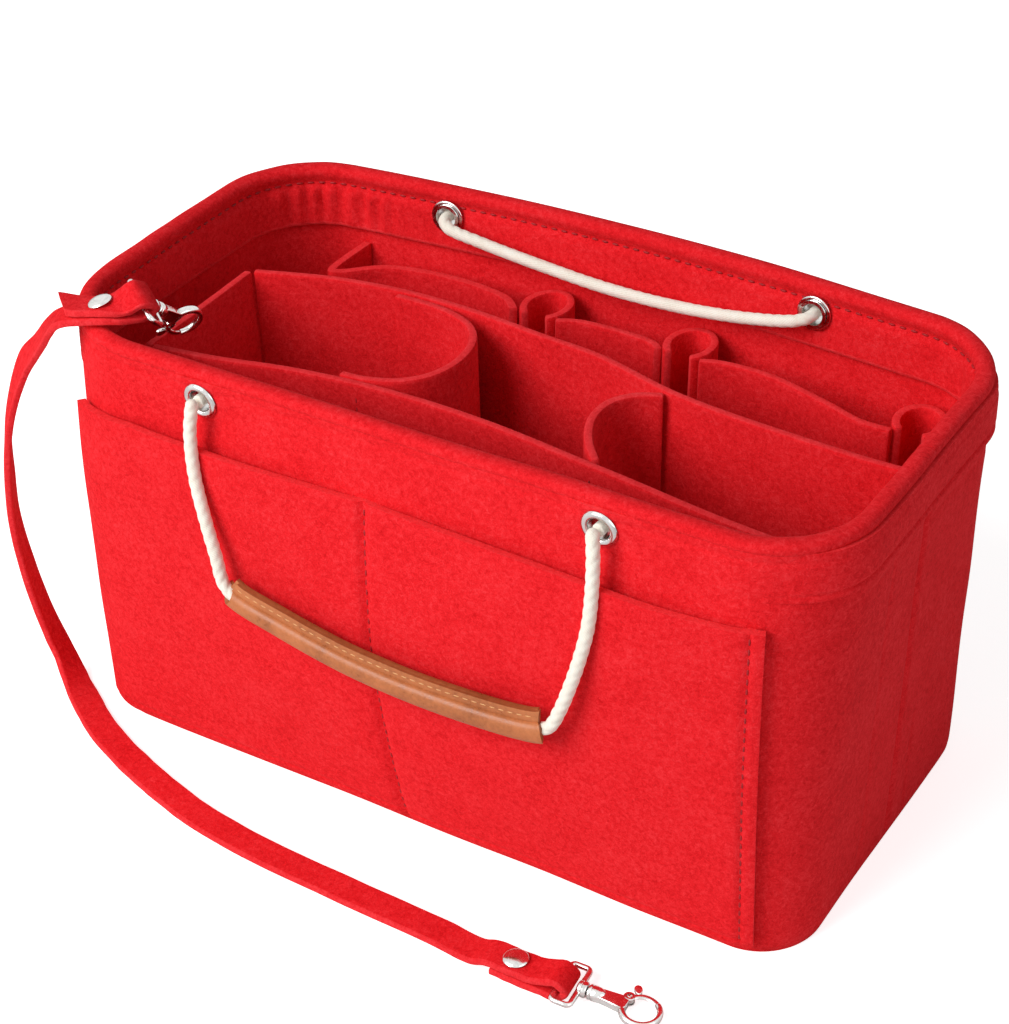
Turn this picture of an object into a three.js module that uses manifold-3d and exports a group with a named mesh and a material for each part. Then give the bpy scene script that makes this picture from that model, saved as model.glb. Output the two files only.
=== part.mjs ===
// Felt purse organizer insert: an open tub with sewn-in dividers, two rope
// handles in eyelets, and a key strap with a lobster clasp at each end.
// Millimetres, +Z up, front pocket towards -Y, origin at the middle of the base.

import * as THREE from 'three';
import { mergeVertices } from 'three/addons/utils/BufferGeometryUtils.js';
import Module from 'manifold-3d';

const wasm = await Module();
wasm.setup();

// Tub
const rimLength = 300;
const baseLength = 288;
const tubWidth = 146;
const tubHeight = 161;
const feltThickness = 3;
const rimCornerRadius = 33;
const pinchedRimCornerRadius = 46;
const baseCornerRadius = 24;
const backBow = 11;
const frontBulge = 9;
const bulgeSharpness = 1.5;
const seamGap = 0.3;
const layerGap = 0.5;

// Rim binding and side bands
const rollWidth = 6.6;
const rollHeight = 3.5;
const rollOverhang = 0.5;
const innerBandHeight = 24.5;
const innerBandThickness = 2.4;
const sideBandHeight = 20.5;
const sideBandThickness = 2;

// Outer pockets
const pocketFloorHeight = 5;
const pocketDrop = 26;

// Inner panels
const dividerDrop = 15;
const innerPocketDrop = 30;
const penLoopRadius = 8;
const penLoopDepthRadius = 9;
const penLoopNeck = 5.6;

// Eyelets
const eyeletSpacing = 150;
const eyeletDrop = 11;
const eyeletBore = 7.8;
const eyeletTubeWall = 0.55;
const eyeletFlangeDiameter = 13.5;
const eyeletDome = 1.4;
const washerThickness = 1;
const eyeletLipOverhang = 0.8;
const eyeletLipThickness = 0.6;
const eyeletHoleClearance = 0.3;

// Rope handles
const ropeDiameter = 5;
const handleDrop = 77;
const innerRopeSag = 9;
const sleeveWall = 1.5;
const sleeveFlapRise = 10.2;
const sleeveFlapThickness = 3.2;
const sleeveBoreClearance = 0.5;

// Key strap
const strapWidth = 13;
const strapThickness = 2.6;
const rivetShankDiameter = 3;
const rivetCapDiameter = 8.6;
const rivetCapThickness = 0.9;
const rivetDome = 0.8;
const rivetHoleClearance = 0.3;
const rivetSeatClearance = 0.95;
const rivetDomeShare = 0.7;

// Lobster clasp
const loopWireDiameter = 2;
const loopInnerWidth = 15.4;
const loopDepth = 4.6;
const barrelDiameter = 5.4;
const barrelLength = 3.6;
const postDiameter = 2.2;
const postLength = 4;
const postClearance = 0.3;
const collarDiameter = 5.2;
const collarLength = 5.6;
const hookThickness = 3;
const stemWidth = 5.6;
const stemTaperShare = 0.8;
const hookRingCentre = 27.5;
const hookRingOuterDiameter = 14.6;
const hookRingBarWidth = 2.4;
const gateThickness = 1.2;
const gateSideClearance = 0.3;
const gatePinDiameter = 1.2;
const gatePinClearance = 0.25;
const gateBossRadius = 1.9;
const gateHubShare = 0.85;
const gatePivotDegrees = 150;
const gateReach = 9.1;
const thumbTabLength = 4.6;
const thumbTabWidth = 3.2;
const thumbTabRootShare = 0.67;
const thumbTabDegrees = 118;

// Mesh fineness
const wallRows = 6;
const cornerSteps = 8;
const longSideSteps = 12;
const shortSideSteps = 4;
const dividerSteps = 30;
const endPanelSteps = 4;
const cupStripSteps = 18;
const innerPocketSteps = 18;
const penLoopSteps = 18;
const ropeSides = 8;
const ropeSteps = 34;
const sleeveSides = 12;
const sleeveSteps = 14;
const roundSides = 18;
const strapStepsPerPoint = 2;
const wireSides = 8;
const jawSteps = 20;
const gateSteps = 8;
const probeDistance = 0.5;
const cutOverrun = 1;
const smallShare = 1e-4;

const halfRimLength = rimLength / 2;
const halfWidth = tubWidth / 2;
const wallTopHeight = tubHeight - rollHeight - seamGap;
const floorTop = feltThickness + seamGap;
const pocketTopHeight = tubHeight - pocketDrop;
const dividerTopHeight = tubHeight - dividerDrop;
const innerPocketTopHeight = tubHeight - innerPocketDrop;
const eyeletHeight = tubHeight - eyeletDrop;

const materials = {
  felt: { color: 0xc8141e, roughness: 0.95, metalness: 0 },
  rope: { color: 0xe9dfcd, roughness: 0.9, metalness: 0 },
  leather: { color: 0xa9663a, roughness: 0.55, metalness: 0 },
  metal: { color: 0xc9c9cc, roughness: 0.2, metalness: 1 },
};

const part = new THREE.Group();

// Meshes and solids

function addMesh(name, geometry, kind) {
  const mesh = new THREE.Mesh(geometry, new THREE.MeshStandardMaterial(materials[kind]));
  mesh.name = name;
  part.add(mesh);
  return mesh;
}

function signedVolume(geometry) {
  const position = geometry.attributes.position;
  const index = geometry.index;
  const corners = [new THREE.Vector3(), new THREE.Vector3(), new THREE.Vector3()];
  let total = 0;
  for (let i = 0; i < index.count; i += 3) {
    corners.forEach((corner, k) => corner.fromBufferAttribute(position, index.getX(i + k)));
    total += corners[0].dot(corners[1].clone().cross(corners[2]));
  }
  return total;
}

function closed(geometry) {
  geometry.deleteAttribute('normal');
  geometry.deleteAttribute('uv');
  const merged = mergeVertices(geometry);
  if (signedVolume(merged) < 0) {
    const index = merged.index;
    for (let i = 0; i < index.count; i += 3) {
      const second = index.getX(i + 1);
      index.setX(i + 1, index.getX(i + 2));
      index.setX(i + 2, second);
    }
  }
  return merged;
}

function toManifold(geometry) {
  const merged = closed(geometry);
  return new wasm.Manifold(new wasm.Mesh({
    numProp: 3,
    vertProperties: Float32Array.from(merged.attributes.position.array),
    triVerts: Uint32Array.from(merged.index.array),
  }));
}

function toGeometry(solid) {
  const mesh = solid.getMesh();
  const geometry = new THREE.BufferGeometry();
  geometry.setAttribute('position', new THREE.BufferAttribute(mesh.vertProperties, mesh.numProp));
  geometry.setIndex(new THREE.BufferAttribute(mesh.triVerts, 1));
  return geometry;
}

function cut(geometry, tools) {
  let solid = toManifold(geometry);
  for (const tool of tools) {
    solid = solid.subtract(toManifold(tool));
  }
  return toGeometry(solid);
}

function join(geometries) {
  let solid = toManifold(geometries[0]);
  for (const geometry of geometries.slice(1)) {
    solid = solid.add(toManifold(geometry));
  }
  return toGeometry(solid);
}

// A closed bar whose section is carried through the given stations
function carried(section, stations, place) {
  const shape = new THREE.Shape(section.map(([a, b]) => new THREE.Vector2(a, b)));
  const steps = stations.length - 1;
  const geometry = new THREE.ExtrudeGeometry(shape, { depth: 1, steps, bevelEnabled: false });
  const position = geometry.attributes.position;
  for (let i = 0; i < position.count; i += 1) {
    const station = stations[Math.round(position.getZ(i) * steps)];
    const point = place(position.getX(i), position.getY(i), station);
    position.setXYZ(i, point.x, point.y, point.z);
  }
  return closed(geometry);
}

// A strip's section between two insets, with a point at every level of the tub's rows
function rectangle(low, high, bottom, top, levels = []) {
  const heights = [bottom, ...levels.filter((level) => level > bottom && level < top), top];
  const outer = heights.map((height) => [high, height]);
  const inner = heights.map((height) => [low, height]);
  return [...outer, ...inner.reverse()];
}

function circleSection(radius, sides) {
  const points = [];
  for (let i = 0; i < sides; i += 1) {
    const angle = (i / sides) * 2 * Math.PI;
    points.push([radius * Math.cos(angle), radius * Math.sin(angle)]);
  }
  return points;
}

function evenSteps(start, end, count) {
  return Array.from({ length: count + 1 }, (_, i) => THREE.MathUtils.lerp(start, end, i / count));
}

// The soft shape of the tub: it flares upward, and its back bows out at the rim

const stackThickness = feltThickness + layerGap + innerBandThickness;

// Nought at the middle of the tub and one throughout a long wall's layers
function towardWall(distance) {
  return THREE.MathUtils.clamp(distance / (halfWidth - stackThickness), 0, 1);
}

function crownAt(x) {
  return Math.max(0, 1 - (x / halfRimLength) ** 2);
}

function bowAt(x, y, z) {
  return backBow * crownAt(x) * (z / tubHeight) * towardWall(y);
}

function bulgeAt(x, y, z) {
  const t = THREE.MathUtils.clamp(z / tubHeight, 0, 1);
  return frontBulge * crownAt(x) * (4 * t * (1 - t)) ** bulgeSharpness * towardWall(-y);
}

function flared(x, y, z) {
  return new THREE.Vector3(x * THREE.MathUtils.lerp(baseLength / rimLength, 1, z / tubHeight), y, z);
}

// The outline's nine stretches, from the middle of the right side round the front and back again
const stretchCount = 9;
const leftSeamShare = stretchCount / 2;
const stepsPerStretch = [
  shortSideSteps / 2, cornerSteps, longSideSteps, cornerSteps, shortSideSteps,
  cornerSteps, longSideSteps, cornerSteps, shortSideSteps / 2,
];

// The whole part of a place says the stretch and the rest says how far along
function outlinePoint(place, inset, z) {
  const wrapped = ((place % stretchCount) + stretchCount) % stretchCount;
  const stretch = Math.min(stretchCount - 1, Math.floor(wrapped));
  const f = wrapped - stretch;
  const t = z / tubHeight;
  const a = halfRimLength - inset;
  const b = halfWidth - inset;
  const plain = THREE.MathUtils.lerp(baseCornerRadius, rimCornerRadius, t) - inset;
  const pinched = THREE.MathUtils.lerp(baseCornerRadius, pinchedRimCornerRadius, t) - inset;
  const sin = Math.sin((f * Math.PI) / 2);
  const cos = Math.cos((f * Math.PI) / 2);
  const outline = [
    () => [a, -f * (b - plain)],
    () => [a - plain + plain * cos, -(b - plain) - plain * sin],
    () => [THREE.MathUtils.lerp(a - plain, -(a - pinched), f), -b],
    () => [-(a - pinched) - pinched * sin, -(b - pinched) - pinched * cos],
    () => [-a, THREE.MathUtils.lerp(-(b - pinched), b - plain, f)],
    () => [-(a - plain) - plain * cos, b - plain + plain * sin],
    () => [THREE.MathUtils.lerp(-(a - plain), a - plain, f), b],
    () => [a - plain + plain * sin, b - plain + plain * cos],
    () => [a, (1 - f) * (b - plain)],
  ];
  return outline[stretch]();
}

// All layers of a wall bow and bulge alike, by what the outer face does
function smoothSkin(place, inset, z) {
  const [x, y] = outlinePoint(place, inset, z);
  const [faceX, faceY] = outlinePoint(place, 0, z);
  return flared(x, y + bowAt(faceX, faceY, z) - bulgeAt(faceX, faceY, z), z);
}

// Straight between the tub's rows, so that layers of any height lie on each other
const rowHeight = tubHeight / wallRows;
const rowLevels = Array.from({ length: wallRows }, (_, row) => row * rowHeight);

function betweenRows(z, pointAt) {
  const row = Math.min(wallRows - 1, Math.floor(z / rowHeight));
  return pointAt(row * rowHeight).lerp(pointAt((row + 1) * rowHeight), z / rowHeight - row);
}

function skin(place, inset, z) {
  return betweenRows(z, (level) => smoothSkin(place, inset, level));
}

function wallStations(start, end) {
  const stations = [start];
  for (let stretch = Math.floor(start); stretch < end; stretch += 1) {
    const steps = stepsPerStretch[((stretch % stretchCount) + stretchCount) % stretchCount];
    for (let i = 0; i <= steps; i += 1) {
      const station = stretch + i / steps;
      if (station > stations[stations.length - 1] + smallShare && station < end - smallShare) {
        stations.push(station);
      }
    }
  }
  stations.push(end);
  return stations;
}

function skinStrip([start, end], section) {
  return carried(section, wallStations(start, end), (inset, z, place) => skin(place, inset, z));
}

// A frame standing on the long wall at x, its third axis pointing out of the tub
function wallFrame(x, side, z) {
  const y = side * halfWidth;
  const onRow = (px, level) => flared(px, y + bowAt(px, y, level) - bulgeAt(px, y, level), level);
  const on = (px, pz) => betweenRows(pz, (level) => onRow(px, level));
  const across = on(x + probeDistance, z).sub(on(x - probeDistance, z)).normalize();
  const up = on(x, z + probeDistance).sub(on(x, z - probeDistance)).normalize();
  const out = across.clone().cross(up).multiplyScalar(-side).normalize();
  const right = up.clone().cross(out);
  return new THREE.Matrix4().makeBasis(right, up, out).setPosition(on(x, z));
}

function lathe(profile, sides) {
  const points = [...profile, profile[0]].map(([r, h]) => new THREE.Vector2(r, h));
  const geometry = new THREE.LatheGeometry(points, sides);
  geometry.rotateX(Math.PI / 2);
  return closed(geometry);
}

function cylinder(radius, bottom, top, sides) {
  const geometry = new THREE.CylinderGeometry(radius, radius, top - bottom, sides);
  geometry.rotateX(Math.PI / 2);
  geometry.translate(0, 0, (top + bottom) / 2);
  return geometry;
}

// Tub walls, with the eyelet holes through wall and inner band

const eyeletPlaces = [
  { name: 'front_left', x: -eyeletSpacing / 2, side: -1 },
  { name: 'front_right', x: eyeletSpacing / 2, side: -1 },
  { name: 'back_left', x: -eyeletSpacing / 2, side: 1 },
  { name: 'back_right', x: eyeletSpacing / 2, side: 1 },
];
const eyeletTubeRadius = eyeletBore / 2 + eyeletTubeWall;

function eyeletHoles() {
  return eyeletPlaces.map(({ x, side }) => {
    const radius = eyeletTubeRadius + eyeletHoleClearance;
    const hole = cylinder(radius, -stackThickness - cutOverrun, cutOverrun, roundSides);
    return hole.applyMatrix4(wallFrame(x, side, eyeletHeight));
  });
}

const seamShare = seamGap / halfWidth;
const wallSection = rectangle(0, feltThickness, 0, wallTopHeight, rowLevels);
const frontWallShares = [seamShare, leftSeamShare - seamShare];
const backWallShares = [leftSeamShare + seamShare, stretchCount - seamShare];
addMesh('front_wall', cut(skinStrip(frontWallShares, wallSection), eyeletHoles()), 'felt');
addMesh('back_wall', cut(skinStrip(backWallShares, wallSection), eyeletHoles()), 'felt');

function basePanel() {
  const inset = feltThickness + seamGap;
  const outline = wallStations(0, stretchCount).slice(0, -1).map((place) => skin(place, inset, 0));
  const shape = new THREE.Shape(outline.map((point) => new THREE.Vector2(point.x, point.y)));
  return closed(new THREE.ExtrudeGeometry(shape, { depth: feltThickness, bevelEnabled: false }));
}
addMesh('base_panel', basePanel(), 'felt');

// Rim binding: a roll over the wall's top with a band down the inside

function rimSection() {
  const bandOuter = feltThickness + layerGap;
  const bandInner = bandOuter + innerBandThickness;
  const rollBottom = tubHeight - rollHeight;
  const rollShares = [[0, 0], [0.03, 0.45], [0.22, 0.88], [0.5, 1], [0.78, 0.86], [1, 0.3]];
  const roll = rollShares.map(([across, up]) => [
    -rollOverhang + across * rollWidth,
    rollBottom + up * rollHeight,
  ]);
  const band = rectangle(bandOuter, bandInner, tubHeight - innerBandHeight, rollBottom, rowLevels);
  const rows = band.length / 2;
  return [...roll, ...band.slice(0, rows).reverse(), ...band.slice(rows).reverse()];
}
const rimShares = [seamShare, stretchCount - seamShare];
addMesh('rim_binding', cut(skinStrip(rimShares, rimSection()), eyeletHoles()), 'felt');

const rightSideBandShares = [-1.625, 1.625];
const leftSideBandShares = [3.375, 5.625];

function sideBand(shares) {
  const bottom = tubHeight - sideBandHeight;
  const outer = -sideBandThickness - layerGap;
  return skinStrip(shares, rectangle(outer, -layerGap, bottom, wallTopHeight, rowLevels));
}
addMesh('right_side_band', sideBand(rightSideBandShares), 'felt');
addMesh('left_side_band', sideBand(leftSideBandShares), 'felt');

// Outer pockets lie flat on the long walls

const frontPocketShares = [1.75, 3.25];
const backPocketShares = [5.75, 7.25];

function outerPocket(shares) {
  const outer = -feltThickness - layerGap;
  return skinStrip(shares, rectangle(outer, -layerGap, pocketFloorHeight, pocketTopHeight, rowLevels));
}
addMesh('front_outer_pocket', outerPocket(frontPocketShares), 'felt');
addMesh('back_outer_pocket', outerPocket(backPocketShares), 'felt');

// Inner panels stand on the base along curves, in shares of half the rim length and half the width

function planCurve(shares) {
  const points = shares.map(([x, y]) => new THREE.Vector2(x * halfRimLength, y * halfWidth));
  return new THREE.SplineCurve(points);
}

function bowed(x, y, z) {
  return flared(x, y + bowAt(x, y, z), z);
}

function standing(shares, steps, top) {
  const curve = planCurve(shares);
  const section = rectangle(-feltThickness / 2, feltThickness / 2, floorTop, top);
  return carried(section, evenSteps(0, 1, steps), (offset, z, t) => {
    const point = curve.getPoint(t);
    const along = curve.getTangent(t);
    return bowed(point.x + offset * along.y, point.y - offset * along.x, z);
  });
}

const centreDividerShares = [
  [-0.788, 0.168], [-0.61, 0.27], [-0.43, 0.32], [-0.25, 0.315], [-0.03, 0.277],
  [0.14, 0.245], [0.35, 0.145], [0.57, 0.1], [0.8, 0.08], [0.976, 0.085],
];
const frontDividerShares = [
  [-0.776, -0.655], [-0.62, -0.6], [-0.42, -0.505], [-0.21, -0.455],
  [0.07, -0.465], [0.37, -0.545], [0.67, -0.63], [0.966, -0.68],
];
const leftEndShares = [[-0.798, 0.15], [-0.792, -0.2], [-0.79, -0.66]];
const leftCupShares = [
  [-0.42, 0.273], [-0.3, 0.269], [-0.2, 0.21], [-0.145, 0.09], [-0.13, -0.08],
  [-0.15, -0.24], [-0.2, -0.355], [-0.27, -0.415], [-0.33, -0.427],
];
const rightCupShares = [
  [0.345, 0.105], [0.29, 0.05], [0.255, -0.05], [0.255, -0.2], [0.29, -0.36], [0.345, -0.496],
];

// The dividers' right ends are cut back round the inner band, with a gap to it
const rightEndShares = [7, 11];

function bandClearance() {
  const high = stackThickness + seamGap;
  const bottom = tubHeight - innerBandHeight - seamGap;
  return skinStrip(rightEndShares, rectangle(feltThickness, high, bottom, tubHeight, rowLevels));
}

function divider(shares) {
  return cut(standing(shares, dividerSteps, dividerTopHeight), [bandClearance()]);
}

addMesh('centre_divider', divider(centreDividerShares), 'felt');
addMesh('front_divider', divider(frontDividerShares), 'felt');
addMesh('left_end_panel', standing(leftEndShares, endPanelSteps, dividerTopHeight), 'felt');
addMesh('left_cup_strip', standing(leftCupShares, cupStripSteps, dividerTopHeight), 'felt');
addMesh('right_cup_strip', standing(rightCupShares, cupStripSteps, dividerTopHeight), 'felt');

// Back inner pockets: flat stretches between round pen loops

const penLoops = [
  { name: 'left', share: [-0.18, 0.795] },
  { name: 'middle', share: [0.212, 0.8] },
  { name: 'right', share: [0.82, 0.755] },
];

function penLoopPoint(share, turn) {
  const neckTurn = Math.asin((penLoopNeck / 2 + feltThickness / 2) / penLoopRadius);
  const angle = THREE.MathUtils.lerp(neckTurn, 2 * Math.PI - neckTurn, turn) - Math.PI / 2;
  return new THREE.Vector2(
    share[0] * halfRimLength + penLoopRadius * Math.cos(angle),
    share[1] * halfWidth + penLoopDepthRadius * Math.sin(angle),
  );
}

function penLoop(share) {
  const section = rectangle(-feltThickness / 2, feltThickness / 2, floorTop, innerPocketTopHeight);
  return carried(section, evenSteps(0, 1, penLoopSteps), (offset, z, turn) => {
    const point = penLoopPoint(share, turn);
    const ahead = penLoopPoint(share, turn + smallShare);
    const behind = penLoopPoint(share, turn - smallShare);
    const along = ahead.sub(behind).normalize();
    return bowed(point.x + offset * along.y, point.y - offset * along.x, z);
  });
}
for (const { name, share } of penLoops) {
  addMesh(`${name}_pen_loop`, penLoop(share), 'felt');
}

const innerPockets = [
  {
    name: 'left_inner_pocket',
    shares: [
      [-0.745, 0.952], [-0.745, 0.66], [-0.715, 0.645], [-0.62, 0.775],
      [-0.45, 0.81], [-0.3, 0.77], [-0.241, 0.69],
    ],
  },
  {
    name: 'middle_inner_pocket',
    shares: [[-0.123, 0.69], [-0.06, 0.735], [0.06, 0.74], [0.13, 0.725], [0.155, 0.69]],
  },
  {
    name: 'right_inner_pocket',
    shares: [[0.267, 0.69], [0.33, 0.73], [0.45, 0.735], [0.6, 0.67], [0.7, 0.615], [0.779, 0.62]],
  },
];
for (const { name, shares } of innerPockets) {
  addMesh(name, standing(shares, innerPocketSteps, innerPocketTopHeight), 'felt');
}

// Eyelets and the washers they are set against

const eyeletDomeShares = [[0, 0.6], [0.4, 1], [0.8, 0.75]];

function eyelet() {
  const bore = eyeletBore / 2;
  const tube = eyeletTubeRadius;
  const rim = eyeletFlangeDiameter / 2;
  const dome = eyeletDomeShares.map(([out, up]) => [THREE.MathUtils.lerp(bore, rim, out), eyeletDome * up]);
  const washerBack = stackThickness + seamGap + washerThickness;
  const lip = washerBack + seamGap;
  return lathe([
    ...dome,
    [rim, seamGap],
    [tube, seamGap],
    [tube, -lip],
    [tube + eyeletLipOverhang, -lip],
    [tube + eyeletLipOverhang, -lip - eyeletLipThickness],
    [bore, -lip - eyeletLipThickness],
  ], roundSides);
}

function washer() {
  const front = stackThickness + seamGap;
  const hole = eyeletTubeRadius + eyeletHoleClearance;
  const rim = eyeletFlangeDiameter / 2;
  return lathe([
    [hole, -front],
    [rim, -front],
    [rim, -front - washerThickness],
    [hole, -front - washerThickness],
  ], roundSides);
}

for (const { name, x, side } of eyeletPlaces) {
  const frame = wallFrame(x, side, eyeletHeight);
  addMesh(`${name}_eyelet`, eyelet().applyMatrix4(frame), 'metal');
  addMesh(`${name}_washer`, washer().applyMatrix4(frame), 'metal');
}

// Rope handles: an outer loop that swings on the two eyelets, and an inner run.
// Their shares are of half the eyelet spacing, of the rope's thickness off the wall, and of the drop.

function curveThrough(points) {
  const places = points.map((point) => new THREE.Vector3(...point));
  return new THREE.CatmullRomCurve3(places, false, 'centripetal');
}

function rope(points) {
  const section = circleSection(ropeDiameter / 2, ropeSides).map(([a, b]) => new THREE.Vector2(a, b));
  const settings = { steps: ropeSteps, extrudePath: curveThrough(points), bevelEnabled: false };
  return closed(new THREE.ExtrudeGeometry(new THREE.Shape(section), settings));
}

const frontOuterRopeShares = [
  [-1, 0.915, -0.0052], [-0.9933, 1.276, 0.1039], [-0.9587, 1.55, 0.2857],
  [-0.9067, 1.717, 0.4727], [-0.8533, 1.809, 0.6364], [-0.816, 1.822, 0.7584],
  [-0.74, 1.805, 0.8104], [-0.5067, 1.759, 0.8649], [-0.1067, 1.727, 0.9312],
  [0.3733, 1.772, 0.9649], [0.82, 1.867, 0.9494], [0.8747, 1.845, 0.9221], [0.9147, 1.745, 0.8364],
  [0.9547, 1.642, 0.7078], [0.9947, 1.52, 0.5416], [1.0227, 1.433, 0.3701], [1.028, 1.372, 0.2052],
  [1.02, 1.256, 0.0753], [1, 0.915, -0.0052],
];
const backOuterRopeShares = [
  [1, 0.899, -0.0052], [1.016, 1.18, 0.0779], [1.0267, 1.411, 0.2078], [1.0133, 1.571, 0.3766],
  [0.98, 1.729, 0.5584], [0.92, 1.857, 0.7143], [0.8, 1.953, 0.8312], [0.4133, 2.046, 0.961],
  [0, 2.082, 1], [-0.4133, 2.046, 0.961], [-0.8, 1.953, 0.8312], [-0.92, 1.857, 0.7143],
  [-0.98, 1.729, 0.5584], [-1.0133, 1.571, 0.3766], [-1.0267, 1.411, 0.2078],
  [-1.016, 1.18, 0.0779], [-1, 0.899, -0.0052],
];
const frontInnerRopeShares = [
  [-1, 0.269, -0.0111], [-1, -0.982, 0.0444], [-0.9893, -1.863, 0.0889], [-0.94, -2.315, 0.1556],
  [-0.7733, -2.497, 0.3778], [-0.36, -2.629, 0.7778], [0, -2.687, 0.9556], [0.36, -2.645, 0.8444],
  [0.7733, -2.501, 0.4], [0.94, -2.315, 0.1556], [0.9893, -1.863, 0.0889], [1, -0.982, 0.0444],
  [1, 0.269, -0.0111],
];
const backInnerRopeShares = [
  [-1, 0.261, -0.0222], [-0.9947, -0.947, -0.0444], [-0.9853, -1.8, 0], [-0.94, -2.295, 0.1111],
  [-0.7733, -2.392, 0.3556], [-0.36, -2.325, 0.8222], [-0.04, -2.32, 1.0222],
  [0.36, -2.312, 0.9556], [0.7067, -2.342, 0.5778], [0.94, -2.295, 0.1111], [0.9853, -1.8, 0],
  [0.9947, -0.947, -0.0444], [1, 0.261, -0.0222],
];

function ropeRoute(shares, side, drop) {
  return shares.map(([across, off, down]) => {
    const x = (across * eyeletSpacing) / 2;
    const y = side * (halfWidth + off * ropeDiameter);
    const z = eyeletHeight - down * drop;
    return [x, y + bowAt(x, y, z) - bulgeAt(x, y, z), z];
  });
}
const frontOuterRopePoints = ropeRoute(frontOuterRopeShares, -1, handleDrop);
const backOuterRopePoints = ropeRoute(backOuterRopeShares, 1, handleDrop);
const frontInnerRopePoints = ropeRoute(frontInnerRopeShares, -1, innerRopeSag);
const backInnerRopePoints = ropeRoute(backInnerRopeShares, 1, innerRopeSag);

function outerRope(points) {
  const ball = (point) => {
    const sphere = new THREE.SphereGeometry(ropeDiameter / 2, ropeSides, ropeSides / 2);
    return sphere.translate(...point);
  };
  return join([rope(points), ball(points[0]), ball(points[points.length - 1])]);
}
addMesh('front_handle_rope', outerRope(frontOuterRopePoints), 'rope');
addMesh('back_handle_rope', outerRope(backOuterRopePoints), 'rope');
addMesh('front_inner_rope', rope(frontInnerRopePoints), 'rope');
addMesh('back_inner_rope', rope(backInnerRopePoints), 'rope');

// Leather sleeves: folded round the rope, with a stitched flap along the top

function sleeveOutline() {
  const outer = ropeDiameter / 2 + sleeveBoreClearance + sleeveWall;
  const half = sleeveFlapThickness / 2;
  const turn = Math.asin(half / outer);
  const points = evenSteps(turn, 2 * Math.PI - turn, sleeveSides)
    .map((angle) => [-outer * Math.sin(angle), outer * Math.cos(angle)]);
  points.push([half, sleeveFlapRise]);
  points.push([-half, sleeveFlapRise]);
  return points;
}

function alongRope(curve, start, end, section) {
  return carried(section, evenSteps(start, end, sleeveSteps), (across, up, t) => {
    const along = curve.getTangent(t);
    const out = new THREE.Vector3(0, 1, 0).addScaledVector(along, -along.y).normalize();
    const rise = along.clone().cross(out);
    if (rise.z < 0) {
      rise.negate();
    }
    return curve.getPoint(t).addScaledVector(out, across).addScaledVector(rise, up);
  });
}

// The sleeve covers the route from one of its points to another
const sleeveFirstPoint = 6;
const sleeveLastPoint = 10;

function sleeve(points) {
  const curve = curveThrough(points);
  const start = sleeveFirstPoint / (points.length - 1);
  const end = sleeveLastPoint / (points.length - 1);
  const margin = cutOverrun / curve.getLength();
  const bore = circleSection(ropeDiameter / 2 + sleeveBoreClearance, ropeSides);
  const body = alongRope(curve, start, end, sleeveOutline());
  return cut(body, [alongRope(curve, start - margin, end + margin, bore)]);
}
addMesh('front_leather_sleeve', sleeve(frontOuterRopePoints), 'leather');
addMesh('back_leather_sleeve', sleeve(backOuterRopePoints), 'leather');

// Key strap: one flat band folded back round the clasp loop at each end

const strapPoints = [
  [-139.5, -67, 165.6], [-131, -66.3, 166.4], [-121.9, -63.8, 167.4], [-115.4, -61, 169.6],
  [-109.9, -58.4, 173.3], [-108.95, -53.9, 169.4], [-111.6, -55.8, 166.3], [-116, -60, 165],
  [-121.1, -63.4, 164.3], [-128.5, -66.6, 163.5], [-135, -68, 161.9], [-141.5, -67.2, 157.3],
  [-148, -65.4, 150.5], [-155, -63.9, 142.3], [-162, -63.6, 134], [-168.5, -65.6, 118],
  [-172, -67.6, 102], [-173, -69, 85], [-173, -70, 69], [-171, -69, 45], [-167.4, -67, 22],
  [-162, -66.8, 9], [-154, -71, 2.8], [-144.4, -77.4, 1.7], [-130.4, -86.3, 1.6],
  [-114.8, -93.8, 1.6], [-98, -100, 1.6], [-82, -105, 1.6], [-66, -109, 1.6],
  [-37, -112.6, 1.6], [0, -114.2, 1.6], [37, -115.2, 1.6], [52, -116.4, 1.7], [59, -116.8, 4.3],
  [68, -117.1, 4.8], [75.5, -117, 5.1], [80.7, -116.8, 6.6], [84.5, -116.5, 7.6],
  [87.8, -116.2, 4.6], [84.5, -116.5, 1.6], [78, -116.9, 1.6], [68, -117.1, 1.6],
  [61, -116.9, 1.6],
];
const strapWidthDirections = [
  [-0.3, 0.95, 0], [-0.38, 0.92, 0], [-0.46, 0.88, 0], [-0.71, 0.6, 0.29],
  [-0.8, 0.41, 0.44], [-0.8, 0.41, 0.44], [-0.8, 0.41, 0.44], [-0.68, 0.64, 0.22],
  [-0.46, 0.88, 0], [-0.42, 0.9, 0], [-0.32, 0.94, 0], [-0.2, 0.97, 0],
  [-0.12, 0.99, 0], [-0.14, 0.99, 0], [-0.2, 0.98, 0], [-0.35, 0.94, 0],
  [-0.48, 0.88, 0], [-0.54, 0.84, 0], [-0.54, 0.84, 0], [-0.48, 0.88, 0], [-0.25, 0.97, 0],
  [0.1, 0.99, 0], [0.35, 0.94, 0], [0.52, 0.86, 0], [0.48, 0.88, 0],
  [0.4, 0.92, 0], [0.33, 0.94, 0], [0.27, 0.96, 0], [0.19, 0.98, 0],
  [0.07, 1, 0], [0.02, 1, 0], [0, 1, 0], [-0.02, 1, 0], [-0.04, 1, 0],
  [-0.06, 1, 0], [-0.08, 1, 0], [-0.1, 1, 0], [-0.1, 1, 0],
  [-0.1, 1, 0], [-0.1, 1, 0], [-0.08, 1, 0], [-0.06, 1, 0],
  [-0.04, 1, 0],
];
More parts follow.
